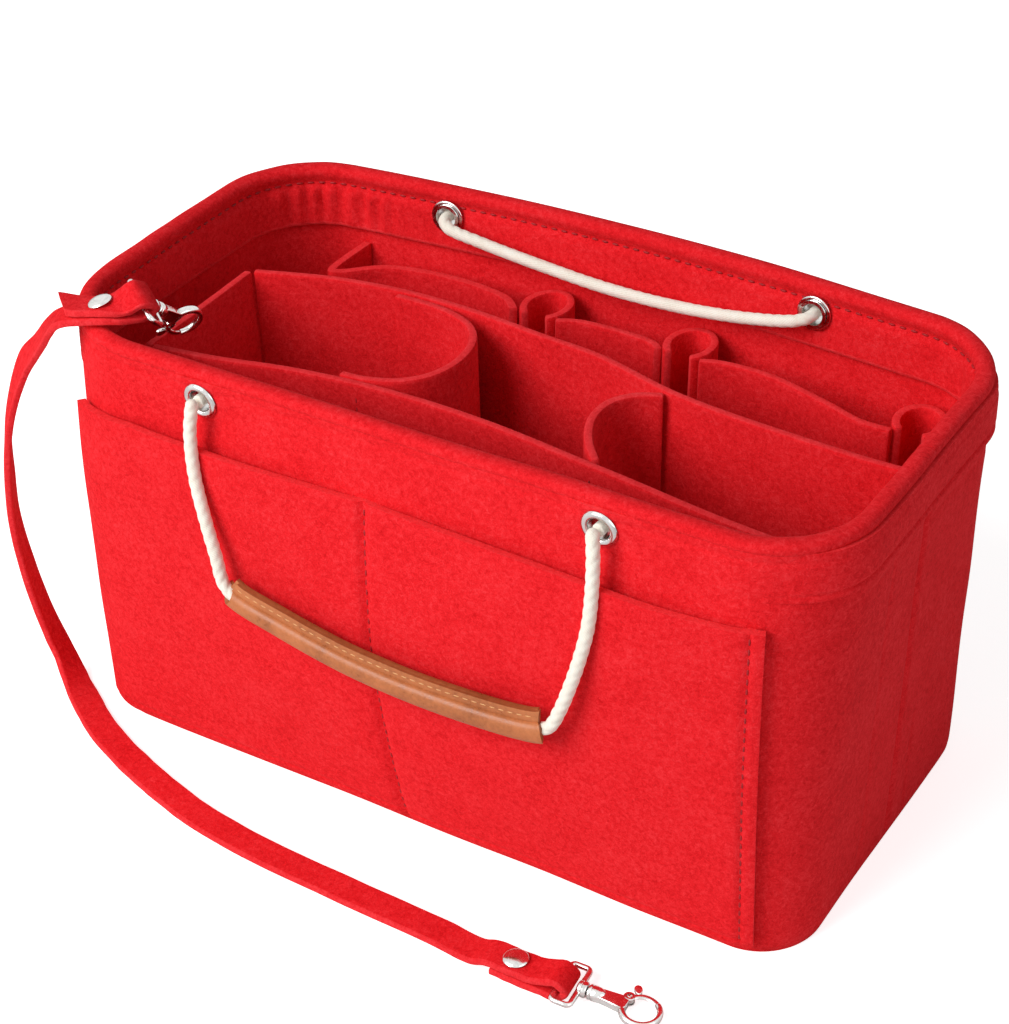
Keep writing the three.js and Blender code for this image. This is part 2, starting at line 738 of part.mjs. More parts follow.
// Each rivet stands on the route's lower layer and its cap lies on the upper one
const strapRivets = [
  { name: 'inner_end_rivet', lower: 8, upper: 2 },
  { name: 'outer_end_rivet', lower: strapPoints.length - 2, upper: 34 },
];

function strapFrame(curve, directions, t) {
  const along = curve.getTangent(t);
  const width = directions.getPoint(t);
  width.addScaledVector(along, -width.dot(along)).normalize();
  return { point: curve.getPoint(t), width, face: along.clone().cross(width) };
}

// The frame of a rivet: on the lower layer, its third axis through the upper one
function rivetFrame({ lower, upper }) {
  const foot = new THREE.Vector3(...strapPoints[lower]);
  const axis = new THREE.Vector3(...strapPoints[upper]).sub(foot);
  const length = axis.length();
  const turn = new THREE.Quaternion().setFromUnitVectors(new THREE.Vector3(0, 0, 1), axis.normalize());
  return { length, frame: new THREE.Matrix4().makeRotationFromQuaternion(turn).setPosition(foot) };
}

function strap() {
  const curve = curveThrough(strapPoints);
  const directions = curveThrough(strapWidthDirections);
  const half = strapWidth / 2;
  const thin = strapThickness / 2;
  const section = rectangle(-half, half, -thin, thin);
  const steps = (strapPoints.length - 1) * strapStepsPerPoint;
  const body = carried(section, evenSteps(0, 1, steps), (across, through, t) => {
    const frame = strapFrame(curve, directions, t);
    return frame.point.addScaledVector(frame.width, across).addScaledVector(frame.face, through);
  });
  const holes = strapRivets.map((place) => {
    const { length, frame } = rivetFrame(place);
    const overrun = thin + cutOverrun;
    const radius = rivetShankDiameter / 2 + rivetHoleClearance;
    return cylinder(radius, -overrun, length + overrun, roundSides / 2).applyMatrix4(frame);
  });
  return cut(body, holes);
}
addMesh('key_strap', strap(), 'felt');

function rivet(length) {
  const shank = rivetShankDiameter / 2;
  const cap = rivetCapDiameter / 2;
  const seat = length + strapThickness / 2 + rivetSeatClearance;
  const edge = seat + rivetCapThickness / 2;
  const foot = rivetSeatClearance - strapThickness / 2;
  return lathe([
    [0, foot],
    [shank, foot],
    [shank, seat],
    [cap, seat],
    [cap, edge],
    [cap * rivetDomeShare, edge + rivetDome * rivetDomeShare],
    [0, edge + rivetDome],
  ], roundSides);
}
for (const place of strapRivets) {
  const { length, frame } = rivetFrame(place);
  addMesh(place.name, rivet(length).applyMatrix4(frame), 'metal');
}

// Lobster clasp, drawn flat: the wire loop's bar at the origin, the hook along +X, the gate at +Y

function lyingCylinder(radius, start, end, sides) {
  return cylinder(radius, start, end, sides).rotateY(Math.PI / 2);
}

function claspLoop() {
  const radius = loopWireDiameter / 2;
  const halfBar = loopInnerWidth / 2 + radius;
  const armLength = loopDepth + loopWireDiameter;
  const bars = [0, armLength].map((x) => {
    const bar = cylinder(radius, -halfBar, halfBar, wireSides).rotateX(Math.PI / 2);
    return bar.translate(x, 0, 0);
  });
  const arms = [-halfBar, halfBar].map((y) => {
    const arm = lyingCylinder(radius, 0, armLength, wireSides);
    return arm.translate(0, y, 0);
  });
  const corners = [-halfBar, halfBar].flatMap((y) => [0, armLength].map((x) => {
    const corner = new THREE.SphereGeometry(radius, wireSides, wireSides / 2);
    return corner.translate(x, y, 0);
  }));
  const barrelStart = armLength - radius;
  const barrelEnd = barrelStart + barrelLength;
  const barrel = lyingCylinder(barrelDiameter / 2, barrelStart, barrelEnd, roundSides / 2);
  const post = lyingCylinder(postDiameter / 2, barrelStart, barrelEnd + postLength, wireSides);
  return join([...bars, ...arms, ...corners, barrel, post]);
}

const claspBarrelEnd = loopDepth + loopWireDiameter / 2 + barrelLength;
const hookStart = claspBarrelEnd + seamGap;
const ringOuter = hookRingOuterDiameter / 2;
const ringMiddle = ringOuter - hookRingBarWidth / 2;
const ringInner = ringOuter - hookRingBarWidth;
const gatePivotAngle = THREE.MathUtils.degToRad(gatePivotDegrees);
const gatePivot = new THREE.Vector2(
  hookRingCentre + ringMiddle * Math.cos(gatePivotAngle),
  ringMiddle * Math.sin(gatePivotAngle),
);

function plate(shape, thickness) {
  const geometry = new THREE.ExtrudeGeometry(shape, { depth: thickness, bevelEnabled: false });
  return geometry.translate(0, 0, -thickness / 2);
}

// The ring's angle at which a circle of the given radius is one reach away from the gate's pivot
function angleAtReach(radius, reach) {
  const cosine = (radius ** 2 + ringMiddle ** 2 - reach ** 2) / (2 * radius * ringMiddle);
  return gatePivotAngle - Math.acos(cosine);
}

// A piece of the ring, whose end lies on a circle round the gate's pivot
function ringArc(outer, inner, reach, turns, steps) {
  const edge = (radius) => {
    const end = angleAtReach(radius, reach) + turns * 2 * Math.PI;
    return evenSteps(gatePivotAngle, end, steps).map((angle) => (
      new THREE.Vector2(hookRingCentre + radius * Math.cos(angle), radius * Math.sin(angle))
    ));
  };
  return new THREE.Shape([...edge(outer), ...edge(inner).reverse()]);
}

function atGatePivot(radius, halfHeight, sides) {
  return cylinder(radius, -halfHeight, halfHeight, sides).translate(gatePivot.x, gatePivot.y, 0);
}

function claspHook() {
  const collar = lyingCylinder(collarDiameter / 2, hookStart, hookStart + collarLength, roundSides / 2);
  const half = stemWidth / 2;
  const stemStart = hookStart + collarLength / 2;
  const stemEnd = hookRingCentre - ringInner;
  const stem = plate(new THREE.Shape([
    new THREE.Vector2(stemStart, -half * stemTaperShare),
    new THREE.Vector2(stemEnd - hookRingBarWidth, -half),
    new THREE.Vector2(stemEnd, -half),
    new THREE.Vector2(stemEnd, half),
    new THREE.Vector2(stemEnd - hookRingBarWidth, half),
    new THREE.Vector2(stemStart, half * stemTaperShare),
  ]), hookThickness);
  const jawShape = ringArc(ringOuter, ringInner, gateReach + gateSideClearance, 1, jawSteps);
  const boss = atGatePivot(gateBossRadius, hookThickness / 2, roundSides / 2);
  const slotHalf = gateThickness / 2 + gateSideClearance;
  const slot = atGatePivot(gateBossRadius + gateSideClearance, slotHalf, roundSides);
  const pinHole = atGatePivot(gatePinDiameter / 2 + gatePinClearance, hookThickness, roundSides / 2);
  const boreRadius = postDiameter / 2 + postClearance;
  const boreEnd = claspBarrelEnd + postLength + postClearance;
  const bore = lyingCylinder(boreRadius, hookStart - cutOverrun, boreEnd, roundSides / 2);
  return cut(join([collar, stem, plate(jawShape, hookThickness), boss]), [slot, pinHole, bore]);
}

function claspGate() {
  const leafHalf = (hookRingBarWidth - gateSideClearance) / 2;
  const leafShape = ringArc(ringMiddle + leafHalf, ringMiddle - leafHalf, gateReach, 0, gateSteps);
  const hub = atGatePivot(gateBossRadius * gateHubShare, gateThickness / 2, roundSides / 2);
  const rootHalf = (thumbTabWidth * thumbTabRootShare) / 2;
  const tabShape = new THREE.Shape([
    new THREE.Vector2(ringMiddle, -rootHalf),
    new THREE.Vector2(ringMiddle + thumbTabLength, -thumbTabWidth / 2),
    new THREE.Vector2(ringMiddle + thumbTabLength, thumbTabWidth / 2),
    new THREE.Vector2(ringMiddle, rootHalf),
  ]);
  const tabTurn = THREE.MathUtils.degToRad(thumbTabDegrees);
  const tab = plate(tabShape, gateThickness).rotateZ(tabTurn).translate(hookRingCentre, 0, 0);
  const pin = atGatePivot(gatePinDiameter / 2, hookThickness / 2, wireSides);
  return join([plate(leafShape, gateThickness), hub, tab, pin]);
}

// Each clasp's bar lies midway between two points of the strap's fold
const clasps = [
  { name: 'inner', fold: [6, 4], along: [0, 0.75, -0.661], bar: [-0.8, 0.41, 0.44], swivel: -90 },
  { name: 'outer', fold: [37, 39], along: [1, 0.1, -0.075], bar: [-0.1, 1, 0], swivel: 0 },
];

function claspFrame({ fold, along, bar }) {
  const [under, over] = fold.map((index) => new THREE.Vector3(...strapPoints[index]));
  const x = new THREE.Vector3(...along).normalize();
  const y = new THREE.Vector3(...bar);
  y.addScaledVector(x, -y.dot(x)).normalize();
  const middle = under.add(over).divideScalar(2);
  return new THREE.Matrix4().makeBasis(x, y, x.clone().cross(y)).setPosition(middle);
}

for (const clasp of clasps) {
  const frame = claspFrame(clasp);
  const swivel = new THREE.Matrix4().makeRotationX(THREE.MathUtils.degToRad(clasp.swivel));
  const turned = frame.clone().multiply(swivel);
  addMesh(`${clasp.name}_clasp_loop`, claspLoop().applyMatrix4(frame), 'metal');
  addMesh(`${clasp.name}_clasp_hook`, claspHook().applyMatrix4(turned), 'metal');
  addMesh(`${clasp.name}_clasp_gate`, claspGate().applyMatrix4(turned), 'metal');
}

export default part;
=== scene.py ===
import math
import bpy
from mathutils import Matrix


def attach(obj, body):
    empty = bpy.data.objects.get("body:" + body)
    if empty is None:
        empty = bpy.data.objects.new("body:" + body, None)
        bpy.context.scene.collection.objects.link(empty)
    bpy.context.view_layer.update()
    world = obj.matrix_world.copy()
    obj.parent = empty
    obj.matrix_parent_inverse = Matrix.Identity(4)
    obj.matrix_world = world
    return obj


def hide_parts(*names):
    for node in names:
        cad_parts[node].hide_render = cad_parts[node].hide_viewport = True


bl_info = {
    "name": "Purse Organizer Insert",
    "version": (1, 0, 0),
    "blender": (4, 5, 0),
    "location": "View3D > Sidebar > Organizer",
    "description": "Felt purse organizer insert with rope handles and a key strap",
    "category": "Add Mesh",
}

from collections import Counter
from contextlib import contextmanager
from functools import cached_property, lru_cache
from itertools import pairwise

import bpy
from mathutils import Matrix, Vector, noise

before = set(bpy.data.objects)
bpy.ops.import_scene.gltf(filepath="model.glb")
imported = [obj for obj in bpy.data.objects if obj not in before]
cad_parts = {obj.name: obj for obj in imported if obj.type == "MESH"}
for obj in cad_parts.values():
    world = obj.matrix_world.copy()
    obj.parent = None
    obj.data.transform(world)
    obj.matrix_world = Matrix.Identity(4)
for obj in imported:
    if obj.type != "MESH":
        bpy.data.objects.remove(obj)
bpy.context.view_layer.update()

# Lengths below are in millimetres and become metres where a point is placed
MM = 0.001

# Tub
RIM_LENGTH = 300
BASE_LENGTH = 288
TUB_WIDTH = 146
TUB_HEIGHT = 161
FELT = 3
RIM_CORNER = 33
PINCHED_CORNER = 46
BASE_CORNER = 24
BACK_BOW = 11
FRONT_BULGE = 9
SLUMP = 2.4
SEAM_GAP = 0.3
LAYER_GAP = 0.5
BAND_THICKNESS = 2.4
HALF_RIM = RIM_LENGTH / 2
HALF_WIDTH = TUB_WIDTH / 2
STACK = FELT + LAYER_GAP + BAND_THICKNESS
WALL_TOP = 157.2
FLOOR_TOP = FELT + SEAM_GAP
POCKET_FLOOR = 5
POCKET_TOP = 135
POCKET_DROP = 3.6
POCKET_STITCH_X = 126.6
DIVIDER_TOP = 146
INNER_POCKET_TOP = 131
SIDE_BAND_FLOOR = 140.5
STRETCHES = 9
STRETCH_LENGTHS = (48, 44, 222, 66, 74, 44, 234, 44, 48)
STITCH_HEIGHT = 154

# Eyelets and rope
EYELET_X = 75
EYELET_Z = 150
EYELET_HOLE = 4.9
EYELET_LEAN = 0.23
MODEL_ROPE = 5


def clamp(value, low=0.0, high=1.0):
    return max(low, min(high, value))


def lerp(start, end, share):
    return start + (end - start) * share


def bell(distance, width):
    return math.exp(-((distance / width) ** 2))


def smooth(low, high, value):
    t = clamp((value - low) / (high - low))
    return t * t * (3 - 2 * t)


def metres(x, y, z):
    return Vector((x, y, z)) * MM


# The tub's shape, the same as the model's


def toward_wall(distance):
    return clamp(distance / (HALF_WIDTH - STACK))


def crown(x):
    return max(0.0, 1 - (x / HALF_RIM) ** 2)


def bow(x, y, z):
    return BACK_BOW * crown(x) * (z / TUB_HEIGHT) * toward_wall(y)


def bulge(x, y, z):
    t = clamp(z / TUB_HEIGHT)
    return FRONT_BULGE * crown(x) * (4 * t * (1 - t)) ** 1.5 * toward_wall(-y)


def flare(z):
    return lerp(BASE_LENGTH / RIM_LENGTH, 1, z / TUB_HEIGHT)


def flared(x, y, z):
    return metres(x * flare(z), y, z)


def outline(place, inset, z):
    wrapped = place % STRETCHES
    stretch = min(STRETCHES - 1, int(wrapped))
    f = wrapped - stretch
    t = z / TUB_HEIGHT
    a = HALF_RIM - inset
    b = HALF_WIDTH - inset
    plain = lerp(BASE_CORNER, RIM_CORNER, t) - inset
    pinched = lerp(BASE_CORNER, PINCHED_CORNER, t) - inset
    s = math.sin(f * math.pi / 2)
    c = math.cos(f * math.pi / 2)
    if stretch == 0:
        return a, -f * (b - plain)
    if stretch == 1:
        return a - plain + plain * c, -(b - plain) - plain * s
    if stretch == 2:
        return lerp(a - plain, -(a - pinched), f), -b
    if stretch == 3:
        return -(a - pinched) - pinched * s, -(b - pinched) - pinched * c
    if stretch == 4:
        return -a, lerp(-(b - pinched), b - plain, f)
    if stretch == 5:
        return -(a - plain) - plain * c, b - plain + plain * s
    if stretch == 6:
        return lerp(-(a - plain), a - plain, f), b
    if stretch == 7:
        return a - plain + plain * s, b - plain + plain * c
    return a, (1 - f) * (b - plain)


@lru_cache(maxsize=None)
def sway(place, z):
    """Soft felt's slow unevenness, the same for every layer at a place."""
    x, y = outline(place, 0, z)
    return 0.6 * noise.noise(Vector((x / 48, y / 48, z / 40)))


def slump(x, y, z):
    """How far the soft lower left corner has slumped in."""
    return SLUMP * smooth(95, 140, -x) * smooth(-10, 45, -y) * (1 - smooth(4, 62, z))


def skin(place, inset, z):
    x, y = outline(place, inset + sway(place, z), z)
    face_x, face_y = outline(place, 0, z)
    x += slump(face_x, face_y, z)
    return flared(x, y + bow(face_x, face_y, z) - bulge(face_x, face_y, z), z)


def graded(start, *runs):
    """Places from start through (end, step) runs."""
    places = [start]
    for end, step in runs:
        count = max(1, round(abs(end - places[-1]) / step))
        begin = places[-1]
        places += [lerp(begin, end, i / count) for i in range(1, count + 1)]
    return places


def stations(start, end, step):
    """Places along the outline, about one step of millimetres apart."""
    places = [start]
    for stretch in range(math.floor(start), math.ceil(end)):
        low, high = max(start, stretch), min(end, stretch + 1)
        length = STRETCH_LENGTHS[stretch % STRETCHES] * (high - low)
        count = max(1, round(length / step))
        places += [lerp(low, high, i / count) for i in range(1, count + 1)]
    return places


def refined(places, fine):
    """The places, with one more in the middle of each stretch where fine(middle) holds."""
    out = []
    for a, b in pairwise(places):
        out += [a, (a + b) / 2] if fine((a + b) / 2) else [a]
    return out + [places[-1]]


# Modelling tools


def deselect():
    bpy.ops.object.select_all(action="DESELECT")


def activate(piece):
    deselect()
    piece.select_set(True)
    bpy.context.view_layer.objects.active = piece


def added(operator, name, **settings):
    """The new piece that a primitive operator adds, with its name."""
    deselect()
    operator(**settings)
    piece = bpy.context.active_object
    piece.name = piece.data.name = name
    return piece


@contextmanager
def editing(piece):
    """Edit mode on a piece, with all of it selected."""
    activate(piece)
    bpy.ops.object.mode_set(mode="EDIT")
    bpy.ops.mesh.select_all(action="SELECT")
    yield
    bpy.ops.object.mode_set(mode="OBJECT")


def face_outward():
    bpy.ops.mesh.select_all(action="SELECT")
    bpy.ops.mesh.normals_make_consistent(inside=False)


def grid(name, us, ws, place):
    """A grid whose rows and columns are laid where place(u, w) says."""
    columns, rows = len(us) - 1, len(ws) - 1
    piece = added(bpy.ops.mesh.primitive_grid_add, name, x_subdivisions=columns, y_subdivisions=rows, size=1)
    for vertex in piece.data.vertices:
        column, row = round((vertex.co.x + 0.5) * columns), round((vertex.co.y + 0.5) * rows)
        vertex.co = place(us[column], ws[row])
    return piece


def weld(piece, fill=True):
    """Closes a piece: doubles are merged, and open ends filled."""
    with editing(piece):
        bpy.ops.mesh.remove_doubles(threshold=1e-6)
        if fill:
            bpy.ops.mesh.select_all(action="DESELECT")
            bpy.ops.mesh.select_non_manifold()
            bpy.ops.mesh.fill_holes(sides=0)
        face_outward()
    return piece


def finish_modifier(piece, kind, **settings):
    activate(piece)
    modifier = piece.modifiers.new(kind.title(), kind)
    for key, value in settings.items():
        setattr(modifier, key, value)
    bpy.ops.object.modifier_apply(modifier=modifier.name)


def soften(piece, angle=40):
    activate(piece)
    bpy.ops.object.shade_smooth_by_angle(angle=math.radians(angle))


def round_edges(piece, width, segments, angle):
    finish_modifier(
        piece, "BEVEL", width=width, segments=segments, limit_method="ANGLE", angle_limit=math.radians(angle)
    )


def thicken(piece, thickness, offset, rounding=None, even=False):
    """Gives a sheet its thickness and soft cut edges."""
    # The rim faces take the piece's second finish; on felt this is the lighter edge finish, partly fuzz and
    # partly a painted highlight.
    finish_modifier(
        piece, "SOLIDIFY", thickness=thickness * MM, offset=offset, use_even_offset=even, material_offset_rim=1
    )
    round_edges(piece, rounding or sizes().edge_rounding, 2, 50)
    soften(piece)


def paint(piece, *names):
    piece.data.materials.clear()
    for name in names:
        piece.data.materials.append(material(name))


def place_piece(piece, body, slot, *nodes):
    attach(piece, body)
    if nodes:
        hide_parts(*nodes)


def pierce(piece, frames, radius=EYELET_HOLE):
    """Cuts round holes of this radius in a single sheet, about the frames' third axes."""
    mesh = piece.data

    def reach(point, matrix):
        local = matrix.inverted() @ point
        return local, math.hypot(local.x, local.y) / MM

    def near(point, matrix, limit):
        local, r = reach(point, matrix)
        return r < limit and abs(local.z) / MM < 15

    with editing(piece):
        bpy.ops.mesh.select_mode(type="FACE")
        bpy.ops.mesh.select_all(action="DESELECT")
    for polygon in mesh.polygons:
        polygon.select = any(near(polygon.center, m, radius + 0.15) for m in frames)
    bpy.ops.object.mode_set(mode="EDIT")
    bpy.ops.mesh.delete(type="FACE")
    bpy.ops.mesh.select_mode(type="VERT")
    bpy.ops.object.mode_set(mode="OBJECT")
    uses = Counter(key for polygon in mesh.polygons for key in polygon.edge_keys)
    for i in {i for key, count in uses.items() if count == 1 for i in key}:
        vertex = mesh.vertices[i]
        for matrix in frames:
            if near(vertex.co, matrix, radius + 2):
                local, r = reach(vertex.co, matrix)
                vertex.co = matrix @ Vector((local.x * radius / r, local.y * radius / r, local.z))


def felt_sheet(node, us, ws, place, thickness=FELT, offset=-1.0, holes=()):
    """A sheet of felt with soft cut edges, in place of its node."""
    piece = grid(f"{node}_felt", us, ws, place)
    if holes:
        pierce(piece, holes)
    paint(piece, "felt", "felt_edge_fuzz_and_highlight")
    thicken(piece, thickness, offset, even=True)
    place_piece(piece, "tub", "felt", node)


def stitch_mesh(length, thickness):
    stitch = added(bpy.ops.mesh.primitive_uv_sphere_add, "stitch", segments=6, ring_count=4, radius=0.5)
    points = [Vector((v.co.z * length, v.co.x * thickness, v.co.y * thickness)) for v in stitch.data.vertices]
    faces = [tuple(p.vertices) for p in stitch.data.polygons]
    bpy.data.objects.remove(stitch, do_unlink=True)
    return points, faces


def stitch_row(name, line, out, finish="thread", slot="felt", body="tub", **thread):
    """Stitches along a line of points, each lying in the surface whose outward directions are given."""
    length, spacing, thickness = (
        thread.get(key) or getattr(sizes(), f"stitch_{key}") for key in ("length", "spacing", "thickness")
    )
    template, template_faces = stitch_mesh(length, thickness)
    points, faces = [], []
    travelled, due = 0.0, spacing / 2
    for (start, end), up in zip(pairwise(line), out):
        step = (end - start).length
        while travelled + step >= due:
            middle = start.lerp(end, (due - travelled) / step)
            along = (end - start).normalized()
            across = up.cross(along).normalized()
            normal = along.cross(across)
            first = len(points)
            points += [middle + along * p.x + across * p.y + normal * p.z for p in template]
            faces += [tuple(first + i for i in face) for face in template_faces]
            due += spacing
        travelled += step
    mesh = bpy.data.meshes.new(name)
    mesh.from_pydata(points, [], faces)
    piece = bpy.data.objects.new(name, mesh)
    bpy.context.scene.collection.objects.link(piece)
    paint(piece, finish)
    soften(piece, 80)
    place_piece(piece, body, slot)


def join_pieces(name, *pieces):
    deselect()
    for piece in pieces:
        piece.select_set(True)
    bpy.context.view_layer.objects.active = pieces[0]
    bpy.ops.object.join()
    pieces[0].name = pieces[0].data.name = name
    return pieces[0]


def turned(name, profile, sides=48, closed=True):
    """A turned piece round Z: a ring extruded through a profile of (radius, height)."""
    radius, height = profile[0]
    place = (0, 0, height * MM)
    piece = added(bpy.ops.mesh.primitive_circle_add, name, vertices=sides, radius=radius * MM, location=place)
    bpy.ops.object.transform_apply(location=True, rotation=True, scale=True)
    with editing(piece):
        for next_radius, next_height in profile[1:] + ([profile[0]] if closed else []):
            rise = (0, 0, (next_height - height) * MM)
            bpy.ops.mesh.extrude_edges_move(TRANSFORM_OT_translate={"value": rise})
            ratio = next_radius / radius
            bpy.ops.transform.resize(value=(ratio, ratio, 1), center_override=(0, 0, 0))
            radius, height = next_radius, next_height
    return weld(piece, fill=not closed)


def move_mesh(piece, matrix):
    piece.data.transform(matrix)
    piece.data.update()
    return piece


def finish_metal(piece, matrix, node, body="tub", angle=50):
    """Puts a plated piece in place of its node."""
    move_mesh(piece, matrix)
    paint(piece, "metal")
    soften(piece, angle)
    place_piece(piece, body, "plated_metal", node)


# Routes of ropes and strap


def route_point(points, t):
    """A place on the centripetal curve through points, with t from 0 to 1 evenly by point."""
    last = len(points) - 1
    at = clamp(t) * last
    i = min(int(at), last - 1)
    w = at - i
    p1, p2 = points[i], points[i + 1]
    p0 = points[i - 1] if i > 0 else p1 * 2 - p2
    p3 = points[i + 2] if i + 2 <= last else p2 * 2 - p1
    d0, d1, d2 = (math.sqrt(max((b - a).length, 1e-6)) for a, b in ((p0, p1), (p1, p2), (p2, p3)))
    m1 = ((p1 - p0) / d0 - (p2 - p0) / (d0 + d1) + (p2 - p1) / d1) * d1
    m2 = ((p2 - p1) / d1 - (p3 - p1) / (d1 + d2) + (p3 - p2) / d2) * d1
    return (
        p1 + m1 * w + (p1 * -3 + p2 * 3 - m1 * 2 - m2) * w**2 + (p1 * 2 - p2 * 2 + m1 + m2) * w**3
    )


def route_along(points, t):
    step = 1e-4
    return (route_point(points, t + step) - route_point(points, t - step)).normalized()


def rope_route(side, drop, *shares):
    """A rope's route from shares: along the eyelets, off the wall in ropes, and down the drop."""
    route = []
    for across, off, down in shares:
        x = across * EYELET_X
        y = side * (HALF_WIDTH + off * MODEL_ROPE)
        z = EYELET_Z - down * drop
        route.append(Vector((x, y + bow(x, y, z) - bulge(x, y, z), z)))
    return route


HANDLE_DROP = 77
INNER_SAG = 9
FRONT_OUTER = rope_route(
    -1, HANDLE_DROP,
    (-1, 0.915, -0.0052), (-0.9933, 1.276, 0.1039), (-0.9587, 1.55, 0.2857),
    (-0.896, 1.717, 0.4727), (-0.838, 1.809, 0.6364), (-0.804, 1.822, 0.7584),
    (-0.74, 1.805, 0.8104), (-0.5067, 1.759, 0.8649), (-0.1067, 1.727, 0.9312),
    (0.3733, 1.772, 0.951), (0.82, 1.867, 0.918), (0.8747, 1.845, 0.887),
    (0.9147, 1.745, 0.804), (0.9547, 1.642, 0.684), (0.9947, 1.52, 0.53),
    (1.0227, 1.433, 0.3701), (1.028, 1.372, 0.2052), (1.02, 1.256, 0.0753), (1, 0.915, -0.0052),
)
BACK_OUTER = rope_route(
    1, HANDLE_DROP,
    (1, 0.899, -0.0052), (1.016, 1.18, 0.0779), (1.0267, 1.411, 0.2078), (1.0133, 1.571, 0.3766),
    (0.98, 1.729, 0.5584), (0.92, 1.857, 0.7143), (0.8, 1.953, 0.8312), (0.4133, 2.046, 0.961),
    (0, 2.082, 1), (-0.4133, 2.046, 0.961), (-0.8, 1.953, 0.8312), (-0.92, 1.857, 0.7143),
    (-0.98, 1.729, 0.5584), (-1.0133, 1.571, 0.3766), (-1.0267, 1.411, 0.2078),
    (-1.016, 1.18, 0.0779), (-1, 0.899, -0.0052),
)
FRONT_INNER = rope_route(
    -1, INNER_SAG,
    (-1, 0.269, -0.0111), (-1, -0.982, 0.0444), (-0.9893, -1.863, 0.0889), (-0.94, -2.315, 0.1556),
    (-0.7733, -2.497, 0.3778), (-0.36, -2.629, 0.7778), (0, -2.687, 0.9556), (0.36, -2.645, 0.8444),
    (0.7733, -2.501, 0.4), (0.94, -2.315, 0.1556), (0.9893, -1.863, 0.0889), (1, -0.982, 0.0444),
    (1, 0.269, -0.0111),
)
BACK_INNER = rope_route(
    1, INNER_SAG,
    (-1, 0.261, -0.0222), (-0.9947, -0.947, -0.0444), (-0.9853, -1.8, 0), (-0.94, -2.295, 0.1111),
    (-0.7733, -2.392, 0.3556), (-0.36, -2.325, 0.8222), (-0.04, -2.32, 1.0222),
    (0.36, -2.312, 0.9556), (0.7067, -2.342, 0.5778), (0.94, -2.295, 0.1111), (0.9853, -1.8, 0),
    (0.9947, -0.947, -0.0444), (1, 0.261, -0.0222),
)

STRAP_ROUTE = [Vector(p) for p in (
    (-139.5, -67, 165.6), (-131, -66.3, 166.4), (-121.9, -63.8, 167.4), (-115.4, -61, 169.3),
    (-109.9, -58.4, 172.5), (-108.95, -53.9, 169.4), (-111.6, -55.8, 166.3), (-116, -60, 165),
    (-121.1, -63.4, 164.3), (-128.5, -66.6, 163.5), (-135, -68, 161.9), (-141.5, -67.2, 157.3),
    (-148, -65.4, 150.5), (-155, -63.9, 142.3), (-162, -63.6, 134), (-168.5, -65.6, 118),
    (-172, -67.6, 102), (-173, -69, 85), (-173, -70, 69), (-171, -69, 45), (-167.4, -67, 22),
    (-162, -66.8, 9), (-154, -71, 2.8), (-144.4, -77.4, 1.7), (-130.4, -86.3, 1.6),
    (-114.8, -93.8, 1.6), (-98, -100, 1.6), (-82, -105, 1.6), (-66, -109, 1.6), (-37, -112.6, 1.6),
    (0, -114.2, 1.6), (37, -115.2, 1.6), (52, -116.4, 1.7), (59, -116.8, 4.3), (68, -117.1, 4.8),
    (75.5, -117, 5.1), (80.7, -116.8, 6.6), (84.5, -116.5, 7.6), (87.8, -116.2, 4.6),
    (84.5, -116.5, 1.6), (78, -116.9, 1.6), (68, -117.1, 1.6), (61, -116.9, 1.6),
)]
STRAP_WIDTHS = [Vector(p) for p in (
    (-0.3, 0.95, 0), (-0.38, 0.92, 0), (-0.46, 0.88, 0), (-0.71, 0.6, 0.29), (-0.8, 0.41, 0.44),
    (-0.8, 0.41, 0.44), (-0.8, 0.41, 0.44), (-0.68, 0.64, 0.22), (-0.46, 0.88, 0), (-0.42, 0.9, 0),
    (-0.12, 0.98, 0.15), (-0.2, 0.88, 0.43), (-0.35, 0.8, 0.49), (-0.43, 0.78, 0.45),
    (-0.67, 0.67, 0.33), (-0.68, 0.72, 0.12), (-0.65, 0.76, 0.01), (-0.55, 0.83, -0.04),
    (-0.53, 0.85, -0.03), (-0.43, 0.9, 0.01), (-0.35, 0.94, -0.03), (-0.1, 0.96, -0.27),
    (0.35, 0.85, -0.39), (0.53, 0.83, -0.17), (0.48, 0.87, -0.04), (0.4, 0.92, 0), (0.33, 0.94, 0),
    (0.27, 0.96, 0), (0.19, 0.98, 0), (0.07, 1, 0), (0.02, 1, 0), (0, 1, 0), (-0.02, 1, 0),
    (-0.04, 1, 0), (-0.06, 1, 0), (-0.08, 1, 0), (-0.1, 1, 0), (-0.1, 1, 0), (-0.1, 1, 0),
    (-0.1, 1, 0), (-0.08, 1, 0), (-0.06, 1, 0), (-0.04, 1, 0),
)]
STRAP_STEPS = (len(STRAP_ROUTE) - 1) * 8
TAIL_SLANT = 8
INNER_RIVET = (8, 2)
OUTER_RIVET = (len(STRAP_ROUTE) - 2, 34)
INNER_FOLD = (6, 4)
OUTER_FOLD = (37, 39)


# Sizes and finishes


def length_setting(name, description, default):
    return bpy.props.FloatProperty(
        name=name, description=description, default=default, min=0, precision=5, unit="LENGTH"
    )


def colour_setting(name, description, default):
    return bpy.props.FloatVectorProperty(
        name=name, description=description, default=default, min=0, max=1, size=3, subtype="COLOR"
    )


